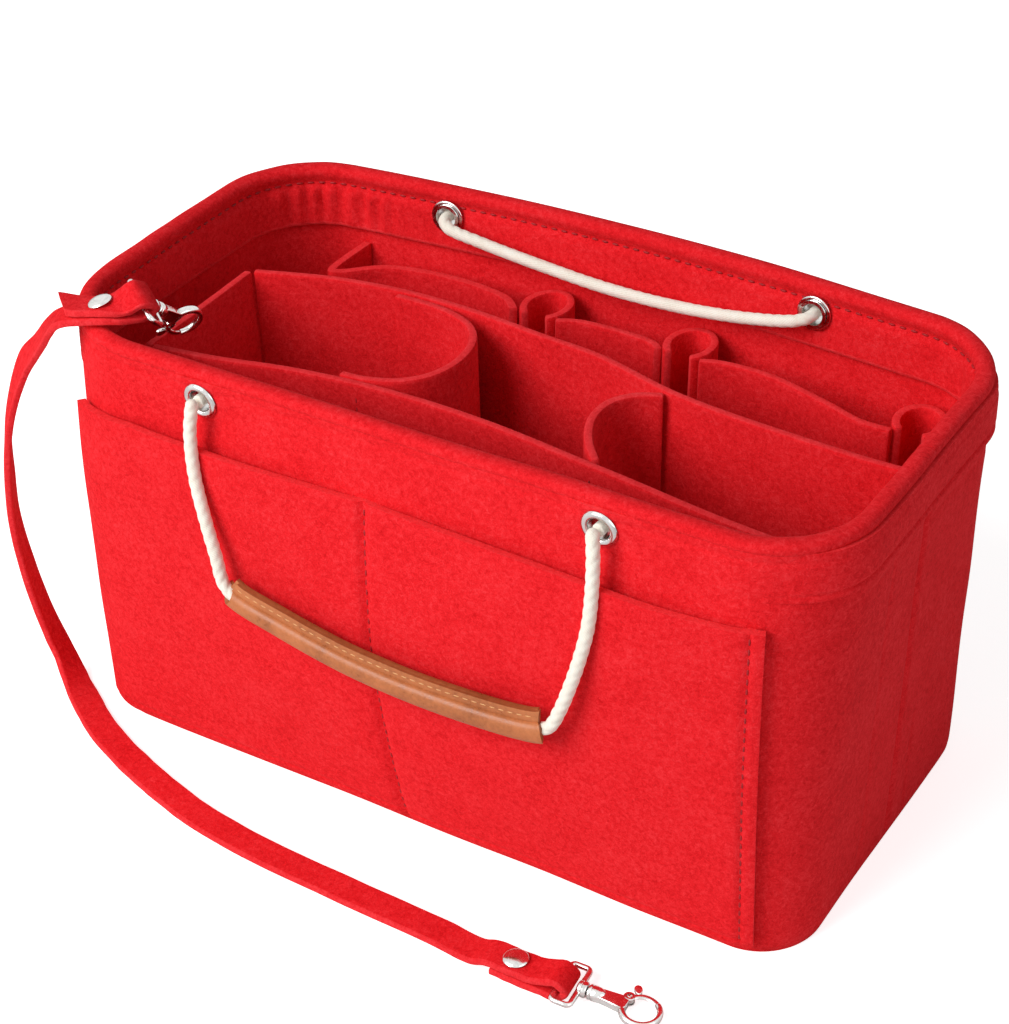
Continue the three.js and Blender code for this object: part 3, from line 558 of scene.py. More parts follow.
class OrganizerSizes(bpy.types.PropertyGroup):
    edge_rounding: length_setting("Edge rounding", "Rounding of the cut felt edges", 0.0008)
    stitch_length: length_setting("Stitch length", "Length of one stitch", 0.0025)
    stitch_spacing: length_setting("Stitch spacing", "Distance from stitch to stitch", 0.0036)
    stitch_thickness: length_setting("Thread thickness", "Thickness of the sewing thread", 0.0006)
    stitch_groove: length_setting("Stitch groove", "How deep the thread pulls the felt in", 0.0008)
    gather_depth: length_setting("Gather depth", "Depth of the inner band's gathers", 0.0012)
    rope_diameter: length_setting("Rope diameter", "Diameter of the cotton rope", 0.0045)
    rope_lay: length_setting("Rope lay", "Length of one turn of a rope strand", 0.012)
    strap_width: length_setting("Strap width", "Width of the key strap", 0.011)
    strap_thickness: length_setting("Strap thickness", "Thickness of the key strap", 0.0026)
    leather_thickness: length_setting("Leather thickness", "Thickness of the sleeve leather", 0.0015)


class OrganizerFinishes(bpy.types.PropertyGroup):
    felt: colour_setting("Felt", "Colour of the felt's face", (0.80, 0.013, 0.019))
    felt_shade: colour_setting("Felt shade", "Colour between the felt's fibres", (0.57, 0.003, 0.006))
    felt_glow: colour_setting("Felt glow", "Colour of the felt's loose fibres", (0.92, 0.045, 0.055))
    thread: colour_setting("Thread", "Colour of the red sewing thread", (0.43, 0.004, 0.008))
    rope: colour_setting("Rope", "Colour of the cotton rope", (0.93, 0.88, 0.77))
    leather: colour_setting("Leather", "Colour of the sleeve leather", (0.47, 0.145, 0.045))
    leather_thread: colour_setting("Sleeve thread", "Colour of the sleeve's thread", (0.80, 0.42, 0.17))
    metal: colour_setting("Plating", "Colour of the plated metal", (0.80, 0.79, 0.77))


def sizes():
    return bpy.context.scene.organizer_sizes


def finishes():
    return bpy.context.scene.organizer_finishes


# Materials


class Nodes:
    """The nodes of a new material, or of the world."""

    def __init__(self, owner):
        self.owner = owner
        owner.use_nodes = True
        self.nodes, self.links = owner.node_tree.nodes, owner.node_tree.links

    @cached_property
    def place(self):
        return self.add("TexCoord").outputs["Object"]

    def feed(self, socket, value):
        """Links a node's output to a socket, or sets its number or colour."""
        if isinstance(value, bpy.types.NodeSocket):
            self.links.new(value, socket)
        else:
            socket.default_value = value

    def dress(self, node, inputs):
        for name, value in inputs.items():
            self.feed(node.inputs[name], value)
        return node

    def add(self, kind, **inputs):
        return self.dress(self.nodes.new(f"ShaderNode{kind}"), inputs)

    def noise(self, scale, detail, roughness=0.6, distortion=0.0):
        node = self.add(
            "TexNoise", Vector=self.place, Scale=scale, Detail=detail,
            Roughness=roughness, Distortion=distortion,
        )
        return node.outputs["Fac"]

    def math(self, operation, *values):
        node = self.add("Math")
        node.operation = operation
        for socket, value in zip(node.inputs, values):
            self.feed(socket, value)
        return node.outputs[0]

    def weighted(self, first, *others):
        total = self.math("MULTIPLY", *first)
        for pair in others:
            total = self.math("ADD", total, self.math("MULTIPLY", *pair))
        return total

    def ramp(self, value, *stops):
        node = self.add("ValToRGB", Fac=value)
        elements = node.color_ramp.elements
        while len(elements) < len(stops):
            elements.new(0.5)
        for element, (position, colour) in zip(elements, stops):
            element.position = position
            element.color = (*colour, 1)
        return node.outputs["Color"]

    def bump(self, height, strength, distance):
        return self.add("Bump", Height=height, Strength=strength, Distance=distance).outputs["Normal"]

    def finished(self, inputs):
        self.dress(self.nodes["Principled BSDF"], inputs)
        return self.owner


def new_finish(name):
    return Nodes(bpy.data.materials.new(name))


def tinted(colour, *factors):
    """The colour times these factors, one for each channel or one for all, up to white."""
    return tuple(min(1.0, c * f) for c, f in zip(colour, factors if len(factors) > 1 else factors * 3))


def felt_material(name, shade, face, glow, sheen, strength):
    """Pressed felt: short tangled fibres, soft mottling and a dull nap."""
    made = new_finish(name)
    fibres, tufts, clouds = made.noise(2200, 4, 0.65, 0.6), made.noise(600, 3, 0.6, 0.7), made.noise(60, 3, 0.5)
    mottle = made.weighted((fibres, 0.42), (tufts, 0.44), (clouds, 0.14))
    return made.finished({
        "Base Color": made.ramp(mottle, (0.33, shade), (0.50, face), (0.69, glow)),
        "Normal": made.bump(made.weighted((fibres, 0.5), (tufts, 0.5)), strength, 0.0006),
        "Roughness": 0.95,
        "Specular IOR Level": 0.12,
        "Sheen Weight": sheen,
        "Sheen Roughness": 0.45,
        "Sheen Tint": (1, 0.1, 0.1, 1),
    })


def thread_material(name, colour, roughness):
    """Twisted sewing thread."""
    made = new_finish(name)
    twist = made.noise(2600, 2)
    return made.finished({
        "Base Color": made.ramp(twist, (0.35, tinted(colour, 0.72)), (0.6, colour)),
        "Normal": made.bump(twist, 0.4, 0.0002),
        "Roughness": roughness,
    })


def rope_material(name, cream):
    """Twisted cotton: yarns run slantwise round the strands, on the rope's own UV map."""
    made = new_finish(name)
    yarns = made.add("TexWave", Vector=made.place.node.outputs["UV"], Scale=9, Distortion=1.4, Detail=2)
    yarns.bands_direction = "DIAGONAL"
    yarns.inputs["Detail Scale"].default_value = 3
    height = made.weighted((yarns.outputs["Fac"], 0.2), (made.noise(1800, 4, 0.65), 0.8))
    tone = made.weighted((height, 0.7), (made.noise(120, 2), 0.3))
    shade, light = tinted(cream, 0.84, 0.82, 0.77), (0.97, 0.95, 0.88)
    return made.finished({
        "Base Color": made.ramp(tone, (0.3, shade), (0.5, cream), (0.7, light)),
        "Normal": made.bump(height, 0.45, 0.0004),
        "Roughness": 0.9,
        "Specular IOR Level": 0.2,
        "Sheen Weight": 0.25,
        "Sheen Roughness": 0.5,
    })


def leather_material(name, tan):
    """Smooth tan leather with pores, soft streaks and a dull shine."""
    made = new_finish(name)
    pores = made.add("TexVoronoi", Vector=made.place, Scale=1100)
    pores.feature = "DISTANCE_TO_EDGE"
    grain, streaks = made.noise(700, 4, 0.6), made.noise(60, 4, 0.6, 0.6)
    deep, pale = tinted(tan, 0.66, 0.6, 0.55), tinted(tan, 1.28, 1.36, 1.5)
    tone = made.weighted((streaks, 0.65), (grain, 0.35))
    return made.finished({
        "Base Color": made.ramp(tone, (0.32, deep), (0.5, tan), (0.7, pale)),
        "Normal": made.bump(made.weighted((pores.outputs["Distance"], 0.6), (grain, 0.4)), 0.3, 0.0003),
        "Roughness": made.weighted((streaks, 0.25), (grain, 0.5)),
        "Specular IOR Level": 0.4,
    })


def metal_material(name, plating):
    """Bright plating with faint rubbing marks."""
    made = new_finish(name)
    smears = made.noise(260, 3, 0.6, 1.5)
    return made.finished({
        "Base Color": made.ramp(smears, (0.35, tinted(plating, 0.86)), (0.6, plating)),
        "Normal": made.bump(smears, 0.08, 0.0002),
        "Roughness": made.ramp(smears, (0.3, (0.09, 0.09, 0.09)), (0.7, (0.27, 0.27, 0.27))),
        "Metallic": 1,
    })


@lru_cache(maxsize=None)
def material(name):
    """The finish of this name, made when it is first asked for."""
    f = finishes()
    if name == "felt":
        return felt_material(name, tuple(f.felt_shade), tuple(f.felt), tuple(f.felt_glow), 0.12, 0.55)
    if name == "felt_edge_fuzz_and_highlight":
        # The cut edges are painted lighter than the face: partly the loose fuzz of cut felt, partly a painted
        # highlight where the edges catch the light.
        cut = tuple((a + b) / 2 for a, b in zip(f.felt, f.felt_glow))
        glow = tuple(min(1, c * 1.1 + 0.02) for c in f.felt_glow)
        return felt_material(name, tinted(f.felt, 0.9), cut, glow, 0.28, 0.8)
    if name == "thread":
        return thread_material(name, tuple(f.thread), 0.6)
    if name == "sleeve_thread":
        return thread_material(name, tuple(f.leather_thread), 0.5)
    if name == "cotton_rope":
        return rope_material(name, tuple(f.rope))
    if name == "leather":
        return leather_material(name, tuple(f.leather))
    if name == "leather_edge":
        return leather_material(name, tinted(f.leather, 0.6))
    return metal_material("plated_metal", tuple(f.metal))


# Walls

RIGHT_CREASES = ((-24, 1.1, 0.4, 161), (12, 1.0, 0.45, 52))


@lru_cache(maxsize=None)
def wall_dent(place, z):
    """How far the wall's face is pulled in at its stitches, seams, creases and front eyelets."""
    x, y = outline(place, 0, z)
    dent = 0.45 * sizes().stitch_groove / MM * bell(z - STITCH_HEIGHT, 1.1)
    dent += 1.3 * bell(z, 2.4)
    if y < 0:
        reach = math.hypot(abs(x) - EYELET_X, z - EYELET_Z)
        dent -= EYELET_LEAN * (z - EYELET_Z) * (1 - smooth(6, 15, reach))
    if x > HALF_RIM - RIM_CORNER:
        dent += 0.6 * bell(z - SIDE_BAND_FLOOR, 1.4)
    if abs(x) > HALF_RIM - 4:
        low = smooth(1, 7, z)
        dent += 1.3 * bell(y, 1.5) * low
        if x > 0:
            for centre, width, depth, top in RIGHT_CREASES:
                dent += depth * bell(y - centre, width) * (1 - smooth(top - 12, top, z)) * low
            dent += 0.3 * bell(z - 133, 1.2)
    return dent


def wall_rows():
    return graded(0.0, (3, 0.6), (132, 2.6), (135, 0.75), (143, 2), (151.5, 1), (WALL_TOP, 0.5))


def near_seam_or_eyelet(place):
    wrapped = place % STRETCHES
    near_eyelet = abs(abs(outline(wrapped, 0, EYELET_Z)[0]) - EYELET_X) < 9
    return wrapped < 0.75 or wrapped > 8.6 or 4.4 < wrapped < 4.7 or near_eyelet


def eyelet_frame(x, side):
    """The frame that stands on the long wall at an eyelet, its third axis out of the tub."""

    def on(px, pz):
        y = side * HALF_WIDTH
        return flared(px, y + bow(px, y, pz) - bulge(px, y, pz), pz)

    z = EYELET_Z
    across = (on(x + 0.5, z) - on(x - 0.5, z)).normalized()
    up = (on(x, z + 0.5) - on(x, z - 0.5)).normalized()
    out = (across.cross(up) * -side).normalized()
    right = up.cross(out)
    matrix = Matrix((right, up, out)).transposed().to_4x4()
    matrix.translation = on(x, z)
    return matrix


EYELETS = (
    ("front_left", -EYELET_X, -1),
    ("front_right", EYELET_X, -1),
    ("back_left", -EYELET_X, 1),
    ("back_right", EYELET_X, 1),
)


def cut_eyelet_holes(piece):
    """Cuts the four eyelets' holes through a closed piece."""
    for _, x, side in EYELETS:
        deselect()
        bpy.ops.mesh.primitive_cylinder_add(vertices=32, radius=EYELET_HOLE * MM, depth=24 * MM)
        cutter = move_mesh(bpy.context.active_object, eyelet_frame(x, side))
        finish_modifier(piece, "BOOLEAN", operation="DIFFERENCE", solver="EXACT", object=cutter)
        bpy.data.objects.remove(cutter, do_unlink=True)


class ORGANIZER_OT_walls(bpy.types.Operator):
    """Make the felt shell's two halves, with their seams and eyelet holes"""

    bl_idname = "organizer.walls"
    bl_label = "Walls"

    def execute(self, context):
        for node, start, end, side in (("front_wall", 0, 4.5, -1), ("back_wall", 4.5, 9, 1)):
            columns = refined(stations(start, end, 2.2), near_seam_or_eyelet)[::-1]
            holes = [eyelet_frame(x, side) for _, x, which in EYELETS if which == side]
            felt_sheet(node, columns, wall_rows(), lambda u, z: skin(u, wall_dent(u, z), z), holes=holes)
        return {"FINISHED"}


class ORGANIZER_OT_base(bpy.types.Operator):
    """Make the felt base between the walls"""

    bl_idname = "organizer.base"
    bl_label = "Base"

    def execute(self, context):
        edge = [skin(p, FELT + SEAM_GAP, 0) for p in stations(0, STRETCHES, 6)[:-1]]
        add = bpy.ops.mesh.primitive_circle_add
        piece = added(add, "base_felt", vertices=len(edge), radius=0.1, fill_type="NOTHING")
        for vertex, point in zip(piece.data.vertices, edge[::-1]):
            vertex.co = point
        with editing(piece):
            for last, share in pairwise((1, 0.97, 0.85, 0.7, 0.5, 0.3, 0.12)):
                bpy.ops.mesh.extrude_edges_move()
                bpy.ops.transform.resize(value=(share / last, share / last, 1), center_override=(0, 0, 0))
            bpy.ops.mesh.edge_face_add()
            face_outward()
        faces_up = sum(p.normal.z for p in piece.data.polygons) > 0
        paint(piece, "felt", "felt_edge_fuzz_and_highlight")
        thicken(piece, FELT, 1 if faces_up else -1)
        place_piece(piece, "tub", "felt", "base_panel")
        return {"FINISHED"}


# Rim: a soft roll over the wall's top, and the gathered band down the inside

RIM_SECTION = (
    (0.45, 156.7), (-0.05, 157.0), (-0.3, 157.9), (-0.4, 158.9), (-0.15, 159.8), (0.5, 160.5), (1.6, 160.9),
    (2.9, 161), (4.2, 160.8), (5.3, 160.2), (6.0, 159.2), (6.1, 158), (5.8, 156.9),
    (5.2, 155.8), (4.75, 155.0), (4.55, 154.2), (4.75, 153.4), (5.3, 152.5), (5.7, 151.5),
    (5.9, 150), (5.9, 148), (5.9, 146), (5.9, 144), (5.9, 142), (5.9, 140), (5.9, 138.4),
    (5.75, 137.5), (5.3, 136.9), (4.7, 136.7), (4.1, 136.9), (3.6, 137.5), (3.5, 139),
    (3.5, 143), (3.5, 148), (3.5, 153), (3.5, 157.1), (3.2, 157.5), (1.5, 157.5), (0.9, 157.1),
)


def gathered(place, inset, z):
    """The inner band's inset with its gathers round the back left corner."""
    if inset < 4.6 or z > 156:
        return inset
    wrapped = place % STRETCHES
    corner, back = STRETCH_LENGTHS[5:7]
    run = (wrapped - 5) * corner if wrapped < 6 else corner + (wrapped - 6) * back
    depth = sizes().gather_depth / MM
    window = smooth(8, 20, run) * (1 - smooth(54, 72, run))
    ripple = math.sin(run * 0.86 + 1.1 * math.sin(run * 0.21)) * (0.55 + 0.45 * smooth(138, 152, z))
    slant = 0.35 * math.sin(run * 0.33 + z * 0.22)
    band = smooth(136, 139, z) * (1 - smooth(151, 154.5, z))
    crease = -1.0 * bell((wrapped - 7.35) * STRETCH_LENGTHS[7], 2.2) * band
    return inset + depth * (ripple + slant) * window * band + crease


class ORGANIZER_OT_rim(bpy.types.Operator):
    """Make the rolled rim and its inner band, with the stitches under the roll"""

    bl_idname = "organizer.rim"
    bl_label = "Rim"

    def execute(self, context):
        section = list(RIM_SECTION) + [RIM_SECTION[0]]
        us = stations(0.004, 8.996, 1.5)
        ws = list(range(len(section)))

        def place(u, w):
            inset, z = section[w]
            plump = 1 + 0.10 * noise.noise(Vector((u * 5.1, 0.3, 1.7)))
            lifted = z if z < 157 else 157.6 + (z - 157.6) * plump
            return skin(u, gathered(u, inset, z), min(lifted, TUB_HEIGHT + 0.2))

        piece = grid("rim_binding_felt", us, ws, place)
        paint(piece, "felt", "felt_edge_fuzz_and_highlight")
        # The inner band's lower fold takes the lighter edge finish: partly fuzz, partly a painted highlight.
        for polygon in piece.data.polygons:
            rows = [round(piece.data.uv_layers[0].data[i].uv.y * (len(ws) - 1)) for i in polygon.loop_indices]
            polygon.material_index = 1 if 25 <= min(rows) and max(rows) <= 30 else 0
        weld(piece)
        soften(piece, 60)
        place_piece(piece, "tub", "felt", "rim_binding")
        cut_eyelet_holes(piece)
        height = STITCH_HEIGHT + 0.2
        places = stations(0.02, 8.98, 1.5)
        line = [skin(p, 4.85, height) for p in places]
        toward = [skin(p, 5.85, height) for p in places]
        out = [b - a for a, b in zip(line, toward)]
        stitch_row("rim_stitches", line, out, length=0.0026, spacing=0.0042, thickness=0.0009)
        return {"FINISHED"}


class ORGANIZER_OT_side_bands(bpy.types.Operator):
    """Make the short felt bands sewn outside the rim round the two ends"""

    bl_idname = "organizer.side_bands"
    bl_label = "Side bands"

    def execute(self, context):
        bands = (("right_side_band", -1.625, 1.8), ("left_side_band", 3.375, 5.625))
        for node, start, end in bands:
            columns = stations(start, end, 1.8)[::-1]
            rows = graded(SIDE_BAND_FLOOR, (145, 0.5), (152, 1.6), (WALL_TOP, 0.6))

            def place(u, z, start=start, end=end):
                taper = smooth(0, 0.5, u - start) * smooth(0, 0.6, end - u)
                groove = 0.3 * bell(z - STITCH_HEIGHT, 0.9) + 0.8 * taper * bell(z - SIDE_BAND_FLOOR - 2.2, 0.7)
                tuck = 0.5 * smooth(WALL_TOP - 4, WALL_TOP, z)
                return skin(u, lerp(0.3, -2.1, taper) + groove + tuck, z)

            felt_sheet(node, columns, rows, place, thickness=1.7)
        return {"FINISHED"}


# Outer pockets


def seam_x(z):
    return -2 - (z - 9) * 0.0505


def pocket_x(place, z):
    return outline(place, -FELT - LAYER_GAP, z)[0] * flare(z)


def pocket_inset(place, z, side):
    """The pocket's outer face: pulled in at its seams, standing a little off the wall between them."""
    x = pocket_x(place, z)
    seam = seam_x(z) if side < 0 else 0
    inset = -FELT - LAYER_GAP
    inset += 1.5 * bell(x - seam, 1.5) + 0.5 * bell(x - seam, 5)
    reach = smooth(0, 55, abs(x - seam)) * smooth(0, 40, 130 - abs(x))
    inset -= 2.3 * reach * smooth(85, POCKET_TOP, z)
    if side < 0 and x < 0:
        inset -= 0.8 * smooth(118, 132, -x) * smooth(60, POCKET_TOP, z)
    else:
        inset += 0.7 * bell(abs(x) - POCKET_STITCH_X, 0.9)
    inset += 0.6 * bell(z - POCKET_FLOOR - 3.5, 0.9) * (1 if abs(x) < 127 else 0)
    inset += 0.8 * bell(z - POCKET_FLOOR, 2.0)
    return inset


def pocket_height(place, z, side):
    """The front pocket's top edge drops a little toward its ends."""
    x = outline(place, 0, z)[0]
    drop = POCKET_DROP * (smooth(30, 128, x) + smooth(100, 134, -x)) if side < 0 else 0
    return z * (1 - drop / POCKET_TOP)


class ORGANIZER_OT_outer_pockets(bpy.types.Operator):
    """Make the flat felt pockets on the two long walls, with their stitches"""

    bl_idname = "organizer.outer_pockets"
    bl_label = "Outer pockets"

    def execute(self, context):
        pockets = (("front_outer_pocket", 1.75, 3.37, -1), ("back_outer_pocket", 5.75, 7.25, 1))
        rows = graded(POCKET_FLOOR, (11, 0.6), (130, 2.8), (POCKET_TOP, 1.2))
        for node, start, end, side in pockets:
            columns = refined(stations(start, end, 2.0), self.near_stitches)[::-1]

            def place(u, z, side=side):
                return skin(u, pocket_inset(u, z, side), pocket_height(u, z, side))

            felt_sheet(node, columns, rows, place)
            for label, at in (("left", -POCKET_STITCH_X), ("right", POCKET_STITCH_X), ("centre", None)):
                if side < 0 and label == "left":
                    continue
                line, out = [], []
                for z in graded(POCKET_FLOOR + 3, (POCKET_TOP - 2, 1.5)):
                    x = at if at is not None else (seam_x(z) if side < 0 else 0)
                    u = self.place_at(x, z, start, end)
                    inset, height = pocket_inset(u, z, side), pocket_height(u, z, side)
                    line.append(skin(u, inset - 0.05, height))
                    out.append(skin(u, inset - 1, height) - line[-1])
                stitch_row(f"{node}_{label}_stitches", line, out, thickness=0.0008)
        return {"FINISHED"}

    def near_stitches(self, place):
        x = abs(outline(place, 0, 70)[0])
        return x < 16 or x > 118

    def place_at(self, x, z, low, high):
        """The place along the outline where the pocket's face has this x."""
        rising = outline(high, 0, z)[0] > outline(low, 0, z)[0]
        for _ in range(30):
            middle = (low + high) / 2
            if (pocket_x(middle, z) < x) == rising:
                low = middle
            else:
                high = middle
        return (low + high) / 2


# Inner panels


def plan_point(shares, t):
    """A place on the smooth curve through shares of half the rim length and half the width."""
    last = len(shares) - 1
    at = clamp(t) * last
    i = min(int(at), last - 1)
    w = at - i
    p0, p1 = shares[max(i - 1, 0)], shares[i]
    p2, p3 = shares[i + 1], shares[min(i + 2, last)]
    out = []
    for a, b, c, d in zip(p0, p1, p2, p3):
        m1, m2 = (c - a) / 2, (d - b) / 2
        out.append((2 * b - 2 * c + m1 + m2) * w**3 + (3 * c - 3 * b - 2 * m1 - m2) * w**2 + m1 * w + b)
    return out[0] * HALF_RIM, out[1] * HALF_WIDTH


def bowed(x, y, z):
    return flared(x, y + bow(x, y, z), z)


def panel_length(shares):
    points = [plan_point(shares, i / 60) for i in range(61)]
    return sum(math.dist(a, b) for a, b in pairwise(points))


def plan_side(shares, t):
    """The direction across the curve at t."""
    (ax, ay), (bx, by) = plan_point(shares, t - 0.002), plan_point(shares, t + 0.002)
    size = math.hypot(bx - ax, by - ay) or 1
    return (by - ay) / size, (ax - bx) / size


def standing_sheet(node, shares, top, wave=0.5, end=1.0):
    """A felt panel standing on the base along a curve, a little uneven towards its top."""
    count = max(12, round(panel_length(shares) / 2.6))
    columns = [lerp(0.0, end, i / count) for i in range(count + 1)]
    rows = graded(FLOOR_TOP, (top - 6, 4.5), (top, 1.5))

    def place(u, z):
        x, y = plan_point(shares, u)
        nx, ny = plan_side(shares, u)
        shift = wave * noise.noise(Vector((x / 38, y / 38, z / 55))) * smooth(20, top, z)
        return bowed(x + shift * nx, y + shift * ny, z)

    felt_sheet(node, columns, rows, place, offset=0)


def upright_stitches(name, shares, t, bottom, top):
    """A row of stitches up a standing panel's face."""
    (x, y), (nx, ny) = plan_point(shares, t), plan_side(shares, t)
    face = FELT / 2 + 0.1
    line, out = [], []
    for z in graded(bottom, (top, 1.5)):
        line.append(bowed(x + nx * face, y + ny * face, z))
        out.append(bowed(x + nx * (face + 1), y + ny * (face + 1), z) - line[-1])
    stitch_row(name, line, out)


CENTRE_DIVIDER = (
    (-0.788, 0.168), (-0.61, 0.27), (-0.43, 0.32), (-0.25, 0.315), (-0.03, 0.277),
    (0.14, 0.245), (0.35, 0.145), (0.57, 0.1), (0.8, 0.08), (0.976, 0.085),
)
FRONT_DIVIDER = (
    (-0.776, -0.655), (-0.62, -0.6), (-0.42, -0.505), (-0.21, -0.455),
    (0.07, -0.465), (0.37, -0.545), (0.67, -0.63), (0.966, -0.68),
)
LEFT_END = ((-0.798, 0.15), (-0.792, -0.2), (-0.79, -0.66))
LEFT_CUP = (
    (-0.42, 0.273), (-0.3, 0.269), (-0.2, 0.21), (-0.145, 0.09), (-0.13, -0.08),
    (-0.15, -0.24), (-0.2, -0.355), (-0.27, -0.415), (-0.33, -0.427),
)
RIGHT_CUP = ((0.345, 0.105), (0.29, 0.05), (0.255, -0.05), (0.255, -0.2), (0.29, -0.36), (0.345, -0.496))
PEN_LOOPS = (("left", (-0.18, 0.795)), ("middle", (0.212, 0.8)), ("right", (0.82, 0.755)))
INNER_POCKETS = (
    (
        "left_inner_pocket",
        (
            (-0.745, 0.952), (-0.745, 0.66), (-0.715, 0.645), (-0.62, 0.775),
            (-0.45, 0.81), (-0.3, 0.77), (-0.241, 0.69),
        ),
    ),
    ("middle_inner_pocket", ((-0.123, 0.69), (-0.06, 0.735), (0.06, 0.74), (0.13, 0.725), (0.155, 0.69))),
    (
        "right_inner_pocket",
        ((0.267, 0.69), (0.33, 0.73), (0.45, 0.735), (0.6, 0.67), (0.7, 0.615), (0.779, 0.62)),
    ),
)


class ORGANIZER_OT_dividers(bpy.types.Operator):
    """Make the standing dividers and the end panel"""

    bl_idname = "organizer.dividers"
    bl_label = "Dividers"

    def execute(self, context):
        standing_sheet("centre_divider", CENTRE_DIVIDER, DIVIDER_TOP, end=0.996)
        standing_sheet("front_divider", FRONT_DIVIDER, DIVIDER_TOP, end=0.994)
        standing_sheet("left_end_panel", LEFT_END, DIVIDER_TOP, wave=0.3)
        upright_stitches("front_divider_left_stitches", FRONT_DIVIDER, 0.39, 12, 142)
        upright_stitches("front_divider_right_stitches", FRONT_DIVIDER, 0.705, 12, 142)
        return {"FINISHED"}


class ORGANIZER_OT_cup_strips(bpy.types.Operator):
    """Make the curved strips round the middle compartment"""

    bl_idname = "organizer.cup_strips"
    bl_label = "Cup strips"

    def execute(self, context):
        standing_sheet("left_cup_strip", LEFT_CUP, DIVIDER_TOP, wave=0.25)
        standing_sheet("right_cup_strip", RIGHT_CUP, DIVIDER_TOP, wave=0.25)
        return {"FINISHED"}


class ORGANIZER_OT_pen_loops(bpy.types.Operator):
    """Make the round pen loops at the back"""

    bl_idname = "organizer.pen_loops"
    bl_label = "Pen loops"

    def execute(self, context):
        radius, depth, neck = 8, 9, 5.6
        narrow = math.asin((neck / 2 + FELT / 2) / radius)
        rows = graded(FLOOR_TOP, (INNER_POCKET_TOP - 6, 4.5), (INNER_POCKET_TOP, 1.5))
        for name, (share_x, share_y) in PEN_LOOPS:

            def place(u, z, share_x=share_x, share_y=share_y):
                angle = lerp(narrow, 2 * math.pi - narrow, u) - math.pi / 2
                lean = 0.25 * noise.noise(Vector((share_x * 9, u * 2, z / 40)))
                x = share_x * HALF_RIM + (radius + lean) * math.cos(angle)
                y = share_y * HALF_WIDTH + (depth + lean) * math.sin(angle)
                return bowed(x, y, z)

            felt_sheet(f"{name}_pen_loop", [i / 40 for i in range(41)], rows, place, offset=0)
        return {"FINISHED"}


class ORGANIZER_OT_inner_pockets(bpy.types.Operator):
    """Make the flat stretches of the back pocket strip"""

    bl_idname = "organizer.inner_pockets"
    bl_label = "Inner pockets"

    def execute(self, context):
        for node, shares in INNER_POCKETS:
            standing_sheet(node, shares, INNER_POCKET_TOP, wave=0.25)
        return {"FINISHED"}


# Eyelets


class ORGANIZER_OT_eyelets(bpy.types.Operator):
    """Make the plated eyelets and the washers they are set against"""

    bl_idname = "organizer.eyelets"
    bl_label = "Eyelets"

    def execute(self, context):
        bore, tube, rim = 3.8, 4.35, 6.4
        back = STACK + SEAM_GAP + 1 + SEAM_GAP
        profile = [
            (bore, 0.2), (bore + 0.12, 0.75), (bore + 0.45, 1.15), (bore + 1.0, 1.4), (bore + 1.7, 1.3),
            (bore + 2.3, 0.95), (rim - 0.12, 0.6), (rim, 0.42), (rim - 0.1, 0.3), (rim - 0.6, 0.3),
            (tube + 0.3, 0.3), (tube, 0.1), (tube, -back), (tube + 0.8, -back), (tube + 0.8, -back - 0.6),
            (bore + 0.2, -back - 0.7), (bore, -back - 0.4),
        ]
        front = STACK + SEAM_GAP
        ring = [
            (tube + 0.3, -front), (rim - 0.15, -front), (rim, -front - 0.2), (rim, -front - 0.8),
            (rim - 0.2, -front - 1), (rim - 1.2, -front - 1), (tube + 0.3, -front - 1),
        ]
        for name, x, side in EYELETS:
            for kind, shape in (("eyelet", profile), ("washer", ring)):
                node = f"{name}_{kind}"
                piece = turned(f"{node}_plated", shape)
                if kind == "eyelet" and side < 0:
                    for vertex in piece.data.vertices:
                        lean = smooth(-1.0, 0.1, vertex.co.z / MM)
                        vertex.co.z += EYELET_LEAN * vertex.co.y * lean
                finish_metal(piece, eyelet_frame(x, side), node)
        return {"FINISHED"}


# Rope and sleeves


def rope_piece(name, route, body, node, domed):
    """Three twisted cotton strands along a route, with domed or blunt ends."""
    length = sum((b - a).length for a, b in pairwise(route))
    count = round(length / 0.9)
    radius = sizes().rope_diameter / 2 / MM
    lay = sizes().rope_lay / MM
    rings = []
    ahead = Vector((0, 0, 1))
    travelled = 0.0
    for i in range(count + 1):
        point, along = route_point(route, i / count), route_along(route, i / count)
        ahead = (ahead - along * ahead.dot(along)).normalized()
        travelled += (point - rings[-1][0]).length if rings else 0
        rings.append((point, ahead.copy(), along.cross(ahead), travelled, 1.0))
    caps = []
    for (point, first, second, at, _), sign in ((rings[0], -1), (rings[-1], 1)):
        cap = []
        for angle in (math.radians(a) for a in ((20, 40, 60, 78) if domed else (35,))):
            reach = sign * (radius * math.sin(angle) if domed else 0.3)
            cap.append((point + first.cross(second) * reach, first, second, at + reach, math.cos(angle)))
        caps.append(cap)
    rings = caps[0][::-1] + rings + caps[1]

    def place(u, w):
        point, first, second, at, cap = rings[w]
        angle = 2 * math.pi * u
        lobe = abs(math.cos(1.5 * (angle - 2 * math.pi * at / lay)))
        size = radius * cap * (0.84 + 0.16 * lobe**0.6)
        return (point + (first * math.cos(angle) + second * math.sin(angle)) * size) * MM

    piece = grid(name, [i / 24 for i in range(25)], range(len(rings)), place)
    stretch = length / (math.pi * 2 * radius)
    for loop in piece.data.uv_layers[0].data:
        loop.uv = (loop.uv.x, loop.uv.y * stretch)
    weld(piece)
    soften(piece, 80)
    paint(piece, "cotton_rope")
    place_piece(piece, body, "cotton_rope", node)


